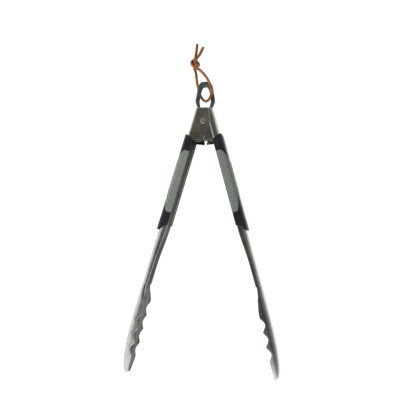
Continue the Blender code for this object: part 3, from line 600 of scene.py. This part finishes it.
GAP = 0.3 * MM  # between pieces that touch
RIVET_RADIUS = 2.5 * MM
RIVET_HEAD_RADIUS = 4.0 * MM
RIVET_HEAD_HEIGHT = 1.25 * MM
RIVET_TAIL_RADIUS = 3.6 * MM
RIVET_TAIL = (-1.1 * MM, -2.3 * MM)  # its two ends, behind the rear cheek
CHEEK_FACE = HALF_DEPTH + GAP
INNER_ROOM = HALF_DEPTH - 2 * SHEET - 2 * GAP
WASHER_RADIUS = 4.0 * MM
WASHER_THICKNESS = 0.8 * MM
SLEEVE_BORE = 2.8 * MM
SLEEVE_RADIUS = 3.9 * MM
COIL_RADIUS = 5.2 * MM
WIRE_RADIUS = 0.9 * MM
SPRING_HALF_HEIGHT = 4.2 * MM
SPRING_TURNS = 3
SPRING_LEG = 40 * MM  # how far down the arm its end lies
SPRING_LEG_OFF = 1.8 * MM  # off the sheet


def turned_rings(profile, centre, segments):
    """A closed turned body: a profile of (radius, height) from the top down its outer side, spun about +Z."""
    profile = np.array(profile, float)
    angle = np.arange(segments) * 2 * math.pi / segments
    ring = np.stack([np.cos(angle), np.sin(angle), np.zeros(segments)], axis=-1)
    points = profile[:, 0, None, None] * ring + np.array([0.0, 0.0, 1.0]) * profile[:, 1, None, None]
    return points + np.array(centre)


def sleeve_rings(inner, outer, low, high, bevel):
    """A ring or sleeve with bevelled edges: its section goes round once, so the last row meets the first."""
    section = [
        (inner, high - bevel),
        (inner + bevel, high),
        (outer - bevel, high),
        (outer, high - bevel),
        (outer, low + bevel),
        (outer - bevel, low),
        (inner + bevel, low),
        (inner, low + bevel),
        (inner, high - bevel),
    ]
    return turned_rings(section, PIVOT, 48)


# zinc plate with a warm passivate: satin, slightly cloudy
plated, tree, shader = new_material("warm_zinc_plate", Metallic=1.0, Roughness=0.28)
place = add_node(tree, "ShaderNodeTexCoord")
cloud = add_node(
    tree,
    "ShaderNodeTexNoise",
    {"Vector": place.outputs["Object"]},
    inputs={"Scale": 1 / (2.5 * MM), "Detail": 4.0},
)
plate_tint = add_node(tree, "ShaderNodeValToRGB", {"Fac": cloud.outputs["Fac"]})
plate_tint.color_ramp.elements[0].color = linear("#8f8a7c")
plate_tint.color_ramp.elements[1].color = linear("#b9b5a6")
tree.links.new(plate_tint.outputs["Color"], shader.inputs["Base Color"])
plate_rough = add_node(
    tree, "ShaderNodeMapRange", {"Value": cloud.outputs["Fac"]}, inputs={"To Min": 0.18, "To Max": 0.38}
)
tree.links.new(plate_rough.outputs[0], shader.inputs["Roughness"])

# spring wire, drawn and oiled: dark grey with cloudy draw marks
wire_steel, tree, shader = new_material("oiled_spring_wire", Metallic=1.0, Roughness=0.3)
place = add_node(tree, "ShaderNodeTexCoord")
marks = add_node(
    tree,
    "ShaderNodeTexNoise",
    {"Vector": place.outputs["Object"]},
    inputs={"Scale": 1 / (0.8 * MM), "Detail": 4.0},
)
wire_tint = add_node(tree, "ShaderNodeValToRGB", {"Fac": marks.outputs["Fac"]})
wire_tint.color_ramp.elements[0].color = linear("#5a5a5c")
wire_tint.color_ramp.elements[1].color = linear("#8d8d8f")
tree.links.new(wire_tint.outputs["Color"], shader.inputs["Base Color"])
wire_rough = add_node(
    tree, "ShaderNodeMapRange", {"Value": marks.outputs["Fac"]}, inputs={"To Min": 0.22, "To Max": 0.45}
)
tree.links.new(wire_rough.outputs[0], shader.inputs["Roughness"])

# the head is a parabola of radius round a dimple, which is another, with a rounded rim
head_top = CHEEK_FACE + RIVET_HEAD_HEIGHT
dimple = [(r * MM, head_top - (0.55 - 0.5 * (r / 1.2) ** 2) * MM) for r in np.linspace(0.0, 1.15, 6)]
dome = [(r * MM, head_top + (0.10 - 0.075 * (r - 2.0) ** 2) * MM) for r in np.linspace(1.3, 3.4, 8)]
tail_start, tail_end = (-CHEEK_FACE + height for height in RIVET_TAIL)
rivet_profile = [
    *dimple,
    *dome,
    (3.75 * MM, head_top - 0.3 * MM),
    (3.95 * MM, head_top - 0.6 * MM),
    (RIVET_HEAD_RADIUS, head_top - 0.85 * MM),
    (RIVET_HEAD_RADIUS, CHEEK_FACE),
    (RIVET_RADIUS, CHEEK_FACE),
    (RIVET_RADIUS, tail_start),
    (RIVET_TAIL_RADIUS, tail_start),
    (RIVET_TAIL_RADIUS, tail_start - 0.6 * MM),
    (3.1 * MM, tail_end + 0.15 * MM),
    (1.8 * MM, tail_end),
    (0.0, tail_end),
]
rivet = solid_from_rings("rivet", turned_rings(rivet_profile, PIVOT, 64), plated)
washer_back = -CHEEK_FACE - WASHER_THICKNESS
washer_rings = sleeve_rings(SLEEVE_BORE, WASHER_RADIUS, washer_back, -CHEEK_FACE, 0.12 * MM)
washer = solid_from_rings("washer", washer_rings, plated)
bush_rings = sleeve_rings(SLEEVE_BORE, SLEEVE_RADIUS, -INNER_ROOM, INNER_ROOM, 0.2 * MM)
sleeve = solid_from_rings("sleeve", bush_rings, plated)
for piece, node in ((rivet, "pivot_rivet"), (washer, "rivet_washer"), (sleeve, "spring_bush")):
    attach(piece, "pivot")
    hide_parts(node)

# a helix on the sleeve, whose two ends leave it as tangents towards the arms' backs
leg_u = SHANK_BACK - SHEET - SPRING_LEG_OFF
leg_x = leg_u * math.cos(OPEN_ANGLE) + SPRING_LEG * math.sin(OPEN_ANGLE)
leg_y = leg_u * math.sin(OPEN_ANGLE) - SPRING_LEG * math.cos(OPEN_ANGLE)
lean = math.acos(COIL_RADIUS / math.hypot(leg_x, leg_y)) - math.atan2(-leg_y, leg_x)
sweep = math.pi - 2 * lean + 2 * math.pi * SPRING_TURNS
turn = np.linspace(0.0, 1.0, 60 * SPRING_TURNS + 24)
coil_angle = math.pi - lean - sweep * turn
coil_height = SPRING_HALF_HEIGHT * (1 - 2 * turn)
coil = np.stack([COIL_RADIUS * np.cos(coil_angle), COIL_RADIUS * np.sin(coil_angle), coil_height], axis=-1)
coil = coil + np.array(PIVOT)
for name, start, sign, body in (("left", coil[0], 1, "left_arm"), ("right", coil[-1], -1, "right_arm")):
    end = np.array([-sign * leg_x, leg_y, sign * SPRING_HALF_HEIGHT]) + np.array(PIVOT)
    leg = start + (end - start) * np.linspace(0.0, 1.0, 40)[:, None]
    leg_rings = tube_rings(leg, WIRE_RADIUS, sides=14)
    spring_leg = solid_from_rings("spring_leg_" + name, leg_rings, wire_steel, angle=60)
    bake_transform(spring_leg)
spring_coil = solid_from_rings("spring_coil", tube_rings(coil, WIRE_RADIUS, sides=14), wire_steel, angle=60)
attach(spring_coil, "pivot")
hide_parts("torsion_spring")

# ------------------------------------------------------------------------------------------------
# Lock. A flat steel stirrup slides between the coil and the arms. A moulded ring, fixed to its tongue by two
# pins, pushes it in or pulls it out, and a rolled pin across its foot keeps it in the middle.

CROSSBAR_AT = 22.4 * MM
CROSSBAR_RADIUS = 1.7 * MM
CROSSBAR_BORE = 1.1 * MM
CROSSBAR_BEVEL = 0.3 * MM
PIN_AT = 4.4 * MM
PIN_RADIUS = 1.0 * MM
PIN_HALF_LENGTH = 2.8 * MM
RING_HALF_THICKNESS = 3.0 * MM
RING_BASE = 10.5 * MM
RING_TONGUE = 4.7 * MM
RING_POWER = 3.4  # of its section's superellipse
RING_MIDDLE = 33.0 * MM

plate_steel = polished_steel("stirrup_sheet_steel", ("#a8a296", "#bdb8ac"), 0.0)
stirrup = frame["nodes"]["lock_slide"]
stirrup.data.materials.clear()
stirrup.data.materials.append(plate_steel)

crossbar_rim = CROSSBAR_RADIUS - CROSSBAR_BEVEL
crossbar_profile = [
    (CROSSBAR_BORE, INNER_ROOM - 0.2 * MM),
    (crossbar_rim, INNER_ROOM),
    (CROSSBAR_RADIUS, INNER_ROOM - CROSSBAR_BEVEL),
    (CROSSBAR_RADIUS, -INNER_ROOM + CROSSBAR_BEVEL),
    (crossbar_rim, -INNER_ROOM),
    (CROSSBAR_BORE, -INNER_ROOM + 0.2 * MM),
    (CROSSBAR_BORE, INNER_ROOM - 0.2 * MM),
]
crossbar_rings = turned_rings(crossbar_profile, PIVOT + Vector((0.0, -CROSSBAR_AT, 0.0)), 40)
crossbar = solid_from_rings("crossbar", crossbar_rings, plated)
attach(crossbar, "lock")
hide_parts("lock_crossbar")
for side, word in SIDES:
    centre = PIVOT + Vector((side * PIN_AT, RING_BASE + RING_TONGUE / 2, 0.0))
    pin_profile = [
        (0.0, PIN_HALF_LENGTH),
        (0.6 * MM, PIN_HALF_LENGTH - 0.03 * MM),
        (PIN_RADIUS, PIN_HALF_LENGTH - 0.3 * MM),
        (PIN_RADIUS, -PIN_HALF_LENGTH),
        (0.0, -PIN_HALF_LENGTH),
    ]
    pin = solid_from_rings("ring_pin_" + word, turned_rings(pin_profile, centre, 32), plated)
    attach(pin, "lock")
    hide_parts("ring_rivet_" + word)


def corner_path(rows, spacing):
    """A closed outline through corners (x, y, radius) in mm, each rounded by a quadratic curve."""
    rows = np.array(rows, float) * MM
    corners, radii = rows[:, :2], rows[:, 2]
    points = []
    for k, (here, radius) in enumerate(zip(corners, radii)):
        back, ahead = corners[k - 1] - here, corners[(k + 1) % len(corners)] - here
        reach = min(radius, 0.48 * min(np.linalg.norm(back), np.linalg.norm(ahead)))
        a = here + back / np.linalg.norm(back) * reach
        b = here + ahead / np.linalg.norm(ahead) * reach
        t = np.linspace(0.0, 1.0, 9)[:, None]
        points.append((1 - t) ** 2 * a + 2 * t * (1 - t) * here + t**2 * b)
    points = np.vstack(points)
    closed = np.vstack([points, points[:1]])
    run = along(closed)
    where = np.arange(0.0, run[-1], spacing)
    return np.stack([np.interp(where, run, closed[:, axis]) for axis in (0, 1)], axis=-1)


def by_angle(outline, centre, count):
    """The outline's points where rays at even angles from the centre cross it."""
    rays = np.arange(count) * 2 * math.pi / count
    offset = outline - np.array(centre)
    angle = np.arctan2(offset[:, 1], offset[:, 0]) % (2 * math.pi)
    order = np.argsort(angle)
    reach = np.interp(rays, angle[order], np.hypot(*offset[order].T), period=2 * math.pi)
    return np.stack([np.cos(rays), np.sin(rays)], axis=-1) * reach[:, None] + np.array(centre)


def mirrored(half):
    """A whole outline from its right half, listed from the top down as (x, y, corner radius) in mm."""
    return half + [(-x, y, radius) for x, y, radius in reversed(half)]


outer_half = [(6.4, 58, 5), (10, 52.5, 5), (14.2, 29.5, 7), (11, 22.1, 5), (9.6, 17.3, 3), (9.4, 10.5, 1)]
inner_half = [(3.2, 50.2, 4), (5.4, 44, 4), (8.3, 29.5, 6), (5.6, 19.8, 3), (5.2, 16.8, 2)]
outer, inner = (
    by_angle(corner_path(mirrored(half), 0.2 * MM), (0.0, RING_MIDDLE), 180)
    for half in (outer_half, inner_half)
)
# the ring's section is a rounded bar: a superellipse between the two outlines, 6 mm deep
section = np.arange(28) * 2 * math.pi / 28
width = np.sign(np.cos(section)) * np.abs(np.cos(section)) ** (2 / RING_POWER)
depth = np.sign(np.sin(section)) * np.abs(np.sin(section)) ** (2 / RING_POWER)
middle_line, half_width = (outer + inner) / 2, (outer - inner) / 2
xy = middle_line[:, None] + half_width[:, None] * width[None, :, None]
z = np.broadcast_to(RING_HALF_THICKNESS * depth, xy.shape[:2])
ring_rings = np.concatenate([xy, z[..., None]], axis=-1) + np.array(PIVOT)
ring_rings = np.concatenate([ring_rings, ring_rings[:1]])

# glass-filled nylon, moulded: satin dark grey with a faint flow pattern
ring_plastic, tree, shader = new_material("moulded_grey_nylon", Roughness=0.42, IOR=1.53)
place = add_node(tree, "ShaderNodeTexCoord")
flow = add_node(
    tree,
    "ShaderNodeTexNoise",
    {"Vector": place.outputs["Object"]},
    inputs={"Scale": 1 / (3 * MM), "Detail": 5.0, "Distortion": 0.6},
)
ring_tint = add_node(tree, "ShaderNodeValToRGB", {"Fac": flow.outputs["Fac"]})
ring_tint.color_ramp.elements[0].position = 0.3
ring_tint.color_ramp.elements[0].color = linear("#262c2d")
ring_tint.color_ramp.elements[1].position = 0.75
ring_tint.color_ramp.elements[1].color = linear("#454d4c")
tree.links.new(ring_tint.outputs["Color"], shader.inputs["Base Color"])
spark = add_node(
    tree,
    "ShaderNodeTexNoise",
    {"Vector": place.outputs["Object"]},
    inputs={"Scale": 1 / (0.35 * MM), "Detail": 3.0},
)
spark_bump = add_node(
    tree, "ShaderNodeBump", {"Height": spark.outputs["Fac"]}, inputs={"Strength": 0.35, "Distance": 0.04 * MM}
)
tree.links.new(spark_bump.outputs["Normal"], shader.inputs["Normal"])
pull_ring = solid_from_rings("ring", ring_rings, ring_plastic, angle=50)
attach(pull_ring, "lock")
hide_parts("pull_ring")

# ------------------------------------------------------------------------------------------------
# Grips. A black moulded shell is pushed on each shank, with a separate end piece beyond a slanted seam. A
# softer grey-green pad is moulded into it and wraps round its back, with small oval studs for the hand.

GRIP_START = 24.0 * MM
GRIP_WALL = 2.2 * MM
GRIP_BACK = SHANK_BACK + GAP + GRIP_WALL
GRIP_HALF_DEPTH = HALF_DEPTH + GAP + GRIP_WALL
GRIP_CORNER = 5.0 * MM
GRIP_INNER = GRIP_EDGE - 1.0 * MM
GRIP_SEAM = GRIP_END - 15.5 * MM
SEAM_SLANT = -6.5 * MM
GRIP_RIM = 0.25  # its edges' roundness, as a share of the wall
END_PROUD = 0.2 * MM
PAD_PROUD = 0.25 * MM
PAD_THICKNESS = 1.2 * MM
PAD_PANEL = 11.5 * MM  # the pad's ends are square up to here, and fall back beyond it
PAD_TOP = 45.0 * MM
PAD_TOP_FALL = 13.0 * MM
PAD_FOOT = 131.5 * MM
PAD_FOOT_FALL = 22.7 * MM
PAD_RIM = (0.9 * MM, 0.35 * MM)  # how wide and how deep its ends are rounded
STUD_LENGTH = 7.0 * MM
STUD_WIDTH = 4.6 * MM
STUD_HEIGHT = 0.4 * MM


def grip_section(offset, wall_points, turn_points, back_points):
    """The grip's outer section as (u, z): upper wall, corner arc, back, corner arc and lower wall."""
    back, depth, corner = GRIP_BACK + offset, GRIP_HALF_DEPTH + offset, GRIP_CORNER + offset
    u_wall = np.linspace(GRIP_INNER, back - corner, wall_points)
    turn = np.linspace(0.0, math.pi / 2, turn_points)[1:]
    u_half = np.concatenate([u_wall, back - corner + corner * np.sin(turn)])
    z_half = np.concatenate([np.full(wall_points, depth), depth - corner + corner * np.cos(turn)])
    flat = np.linspace(1.0, -1.0, back_points)[1:-1]
    u = np.concatenate([u_half, np.full(len(flat), back), u_half[::-1]])
    z = np.concatenate([z_half, (depth - corner) * flat, -z_half[::-1]])
    return u, z


def grip_surface(offset, start, end, rows):
    """A grid over the grip between two end lines, each given as a function of u."""
    u, z = grip_section(offset, 16, 10, 13)
    t = np.linspace(0.0, 1.0, rows)[:, None]
    s = start(u) * (1 - t) + end(u) * t
    return np.stack([np.broadcast_to(u, s.shape), s, np.broadcast_to(z, s.shape)], axis=-1)


def bent_end(at, reach, power):
    """An end line that starts at the back and reaches away by a power of the distance from it."""
    return lambda u: at + reach * (np.clip(GRIP_BACK - u, 0.0, None) / (GRIP_BACK - GRIP_INNER)) ** power


def pad_fall(u):
    """How far along from its square panel to the grip's back a place on the pad is, from 0 to 1."""
    return np.clip((u - PAD_PANEL) / (GRIP_BACK - PAD_PANEL), 0, 1)


# black polypropylene with a fine spark-eroded texture: soft grey highlights, no sharp ones
black_plastic, tree, shader = new_material("textured_black_polypropylene", Roughness=0.5, IOR=1.45)
place = add_node(tree, "ShaderNodeTexCoord")
speck = add_node(
    tree,
    "ShaderNodeTexNoise",
    {"Vector": place.outputs["Object"]},
    inputs={"Scale": 1 / (0.5 * MM), "Detail": 4.0, "Roughness": 0.6},
)
rubbed = add_node(
    tree,
    "ShaderNodeTexNoise",
    {"Vector": place.outputs["Object"]},
    inputs={"Scale": 1 / (18 * MM), "Detail": 3.0},
)
black_tint = add_node(tree, "ShaderNodeValToRGB", {"Fac": rubbed.outputs["Fac"]})
black_tint.color_ramp.elements[0].position = 0.3
black_tint.color_ramp.elements[0].color = linear("#080c12")
black_tint.color_ramp.elements[1].position = 0.7
black_tint.color_ramp.elements[1].color = linear("#121923")
tree.links.new(black_tint.outputs["Color"], shader.inputs["Base Color"])
black_rough = add_node(
    tree, "ShaderNodeMapRange", {"Value": rubbed.outputs["Fac"]}, inputs={"To Min": 0.38, "To Max": 0.6}
)
tree.links.new(black_rough.outputs[0], shader.inputs["Roughness"])
black_bump = add_node(
    tree, "ShaderNodeBump", {"Height": speck.outputs["Fac"]}, inputs={"Strength": 0.4, "Distance": 0.05 * MM}
)
tree.links.new(black_bump.outputs["Normal"], shader.inputs["Normal"])

# thermoplastic rubber, grey-green: matt, a little chalky, with a soft sheen at the edges
pad_rubber, tree, shader = new_material(
    "grey_green_soft_rubber", Roughness=0.75, Sheen_Weight=0.25, Sheen_Roughness=0.5
)
place = add_node(tree, "ShaderNodeTexCoord")
chalk = add_node(
    tree,
    "ShaderNodeTexNoise",
    {"Vector": place.outputs["Object"]},
    inputs={"Scale": 1 / (2.2 * MM), "Detail": 6.0, "Roughness": 0.7},
)
pad_tint = add_node(tree, "ShaderNodeValToRGB", {"Fac": chalk.outputs["Fac"]})
pad_tint.color_ramp.elements[0].position = 0.3
pad_tint.color_ramp.elements[0].color = linear("#5b615b")
pad_tint.color_ramp.elements[1].position = 0.7
pad_tint.color_ramp.elements[1].color = linear("#757b74")
tree.links.new(pad_tint.outputs["Color"], shader.inputs["Base Color"])
pad_bump = add_node(
    tree, "ShaderNodeBump", {"Height": chalk.outputs["Fac"]}, inputs={"Strength": 0.3, "Distance": 0.08 * MM}
)
tree.links.new(pad_bump.outputs["Normal"], shader.inputs["Normal"])


def pad_surface():
    """The pad's outer surface, raised in small oval studs that fade out towards its edges.

    Its two ends are square across the panel, then fall back by a power curve. The studs stand where the
    product of two cosines, one along the pad and one round it, is high.
    """
    u, z = grip_section(PAD_PROUD, 34, 16, 40)
    across = along(np.stack([u, z], axis=-1))
    t = np.linspace(0.0, 1.0, 280)[:, None]
    start = PAD_TOP + PAD_TOP_FALL * pad_fall(u) ** 1.8
    end = PAD_FOOT - PAD_FOOT_FALL * pad_fall(u) ** 2.2
    s = start * (1 - t) + end * t
    grid = np.stack([np.broadcast_to(u, s.shape), s, np.broadcast_to(z, s.shape)], axis=-1)
    normal = -grid_normals(grid)
    length_wave = np.cos(2 * math.pi * s / STUD_LENGTH)
    width_wave = np.cos(2 * math.pi * (across[None, :] - across[-1] / 2) / STUD_WIDTH)
    stud = ease(length_wave * width_wave, 0.1, 0.65)
    inside = ease(np.minimum(s - start, end - s), 1.0 * MM, 4.0 * MM)
    inside = inside * ease(np.minimum(across, across[-1] - across), 1.0 * MM, 3.0 * MM)[None, :]
    rim_width, rim_depth = PAD_RIM
    rim = ease(np.minimum(s - start, end - s), 0.0, rim_width)
    height = STUD_HEIGHT * stud * inside - rim_depth * (1 - rim)
    return grid + normal * height[..., None]


top_line = bent_end(GRIP_START, 5.0 * MM, 2.0)
seam_line = bent_end(GRIP_SEAM, SEAM_SLANT, 1.0)
end_start_line = bent_end(GRIP_SEAM + GAP, SEAM_SLANT, 1.0)
foot_line = bent_end(GRIP_END, -9.0 * MM, 0.8)
shell_rings = sheet_rings(grip_surface(0.0, top_line, seam_line, 60), GRIP_WALL, GRIP_RIM)
end_rings = sheet_rings(grip_surface(END_PROUD, end_start_line, foot_line, 16), GRIP_WALL, GRIP_RIM)
pad_rings = sheet_rings(pad_surface(), PAD_THICKNESS, GRIP_RIM)
for side, word in SIDES:
    shell = solid_from_rings("grip_" + word, arm_to_world(shell_rings, side), black_plastic)
    end_piece = solid_from_rings("grip_tail_" + word, arm_to_world(end_rings, side), black_plastic)
    pad = solid_from_rings("soft_pad_" + word, arm_to_world(pad_rings, side), pad_rubber, angle=60)
    for piece, node, slot in (
        (shell, "grip_shell_", "black_plastic"),
        (end_piece, "grip_end_", "black_plastic"),
        (pad, "grip_pad_", "soft_rubber"),
    ):
        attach(piece, word + "_arm")
        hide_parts(node + word)

# ------------------------------------------------------------------------------------------------
# Table and light. A white table that glows a little, a sky that is bright at the horizon and dim overhead,
# with a bright wall on the left, a darker side on the right and a white card beyond the tips, and two lamps.

table = bpy.data.meshes.new("table")
table.from_pydata([(-3, -3, 0), (3, -3, 0), (3, 3, 0), (-3, 3, 0)], [], [(0, 1, 2, 3)])
table_object = bpy.data.objects.new("table", table)
bpy.context.scene.collection.objects.link(table_object)
table_object.location.z = -0.3 * MM
# matt white laminate that glows, so that the tongs throw no hard shadow on it
white, tree, shader = new_material("white_table", Base_Color=linear("#a8a8a7"), Roughness=0.6)
shader.inputs["Emission Color"].default_value = (1.0, 1.0, 1.0, 1.0)
shader.inputs["Emission Strength"].default_value = 0.86
table.materials.append(white)

world = bpy.data.worlds.new("studio")
bpy.context.scene.world = world
world.use_nodes = True
tree = world.node_tree
sky = tree.nodes["Background"]
direction = add_node(tree, "ShaderNodeTexCoord")
toward = add_node(tree, "ShaderNodeSeparateXYZ", {"Vector": direction.outputs["Generated"]})
shade = add_node(tree, "ShaderNodeValToRGB", {"Fac": toward.outputs["Z"]})
shade.color_ramp.elements[0].position = 0.0
shade.color_ramp.elements[0].color = (0.9, 0.9, 0.9, 1.0)
shade.color_ramp.elements[1].position = 1.0
shade.color_ramp.elements[1].color = (0.085, 0.085, 0.085, 1.0)
for height, grey in ((0.5, 0.75), (0.8, 0.3), (0.93, 0.12)):
    shade.color_ramp.elements.new(height).color = (grey, grey, grey, 1.0)
# overhead it is cool towards the tips and warm towards the ring
tone = add_node(
    tree, "ShaderNodeMapRange", {"Value": toward.outputs["Y"]}, inputs={"From Min": -0.1, "From Max": 0.22}
)
cast = add_node(tree, "ShaderNodeValToRGB", {"Fac": tone.outputs[0]})
cast.color_ramp.elements[0].color = (0.82, 0.96, 1.08, 1.0)
cast.color_ramp.elements[1].color = (1.3, 1.2, 1.0, 1.0)
overhead = add_node(
    tree, "ShaderNodeMapRange", {"Value": toward.outputs["Z"]}, inputs={"From Min": 0.7, "From Max": 0.92}
)
tinted = add_node(
    tree,
    "ShaderNodeMixRGB",
    {"Fac": overhead.outputs[0], "Color1": shade.outputs["Color"], "Color2": cast.outputs["Color"]},
    blend_type="MULTIPLY",
)
# the bright wall
wall = add_node(
    tree,
    "ShaderNodeMapRange",
    {"Value": toward.outputs["X"]},
    interpolation_type="SMOOTHSTEP",
    inputs={"From Min": -0.45, "From Max": -0.75, "To Min": 0.0, "To Max": 0.8},
)
walled = add_node(
    tree,
    "ShaderNodeMixRGB",
    {"Fac": wall.outputs[0], "Color1": tinted.outputs["Color"]},
    inputs={"Color2": (1.5, 1.5, 1.5, 1.0)},
)
# the darker side, above the horizon only
right_side = add_node(
    tree,
    "ShaderNodeMapRange",
    {"Value": toward.outputs["X"]},
    interpolation_type="SMOOTHSTEP",
    inputs={"From Min": 0.25, "From Max": 0.65, "To Min": 0.0, "To Max": 0.75},
)
above = add_node(
    tree,
    "ShaderNodeMapRange",
    {"Value": toward.outputs["Z"]},
    interpolation_type="SMOOTHSTEP",
    inputs={"From Min": 0.15, "From Max": 0.4},
)
dark = add_node(tree, "ShaderNodeMath", {0: right_side.outputs[0], 1: above.outputs[0]}, operation="MULTIPLY")
sided = add_node(
    tree,
    "ShaderNodeMixRGB",
    {"Fac": dark.outputs[0], "Color1": walled.outputs["Color"]},
    inputs={"Color2": (0.32, 0.33, 0.34, 1.0)},
)
# the white card, a little to the left of straight ahead
ahead = add_node(
    tree,
    "ShaderNodeVectorMath",
    {0: direction.outputs["Generated"]},
    operation="DOT_PRODUCT",
    inputs={1: (0.5, 1.0, 0.0)},
)
card = add_node(
    tree,
    "ShaderNodeMapRange",
    {"Value": ahead.outputs["Value"]},
    interpolation_type="SMOOTHSTEP",
    inputs={"From Min": -0.15, "From Max": -0.5, "To Min": 0.0, "To Max": 0.9},
)
lit = add_node(
    tree,
    "ShaderNodeMixRGB",
    {"Fac": card.outputs[0], "Color1": sided.outputs["Color"]},
    inputs={"Color2": (1.5, 1.5, 1.5, 1.0)},
)
tree.links.new(lit.outputs["Color"], sky.inputs["Color"])

for name, place, size, power in (
    ("lamp_left", (-0.36, 0.1, 0.26), 0.3, 1.8),
    ("lamp_right", (0.9, -0.3, 0.7), 0.9, 0.2),
):
    lamp = bpy.data.objects.new(name, bpy.data.lights.new(name, "AREA"))
    lamp.data.shape = "SQUARE"
    lamp.data.size = size
    lamp.data.energy = power
    lamp.location = place
    lamp.rotation_euler = (-Vector(place)).to_track_quat("-Z", "Y").to_euler()
    lamp.visible_glossy = False
    bpy.context.scene.collection.objects.link(lamp)

bpy.context.scene.view_settings.view_transform = "Standard"
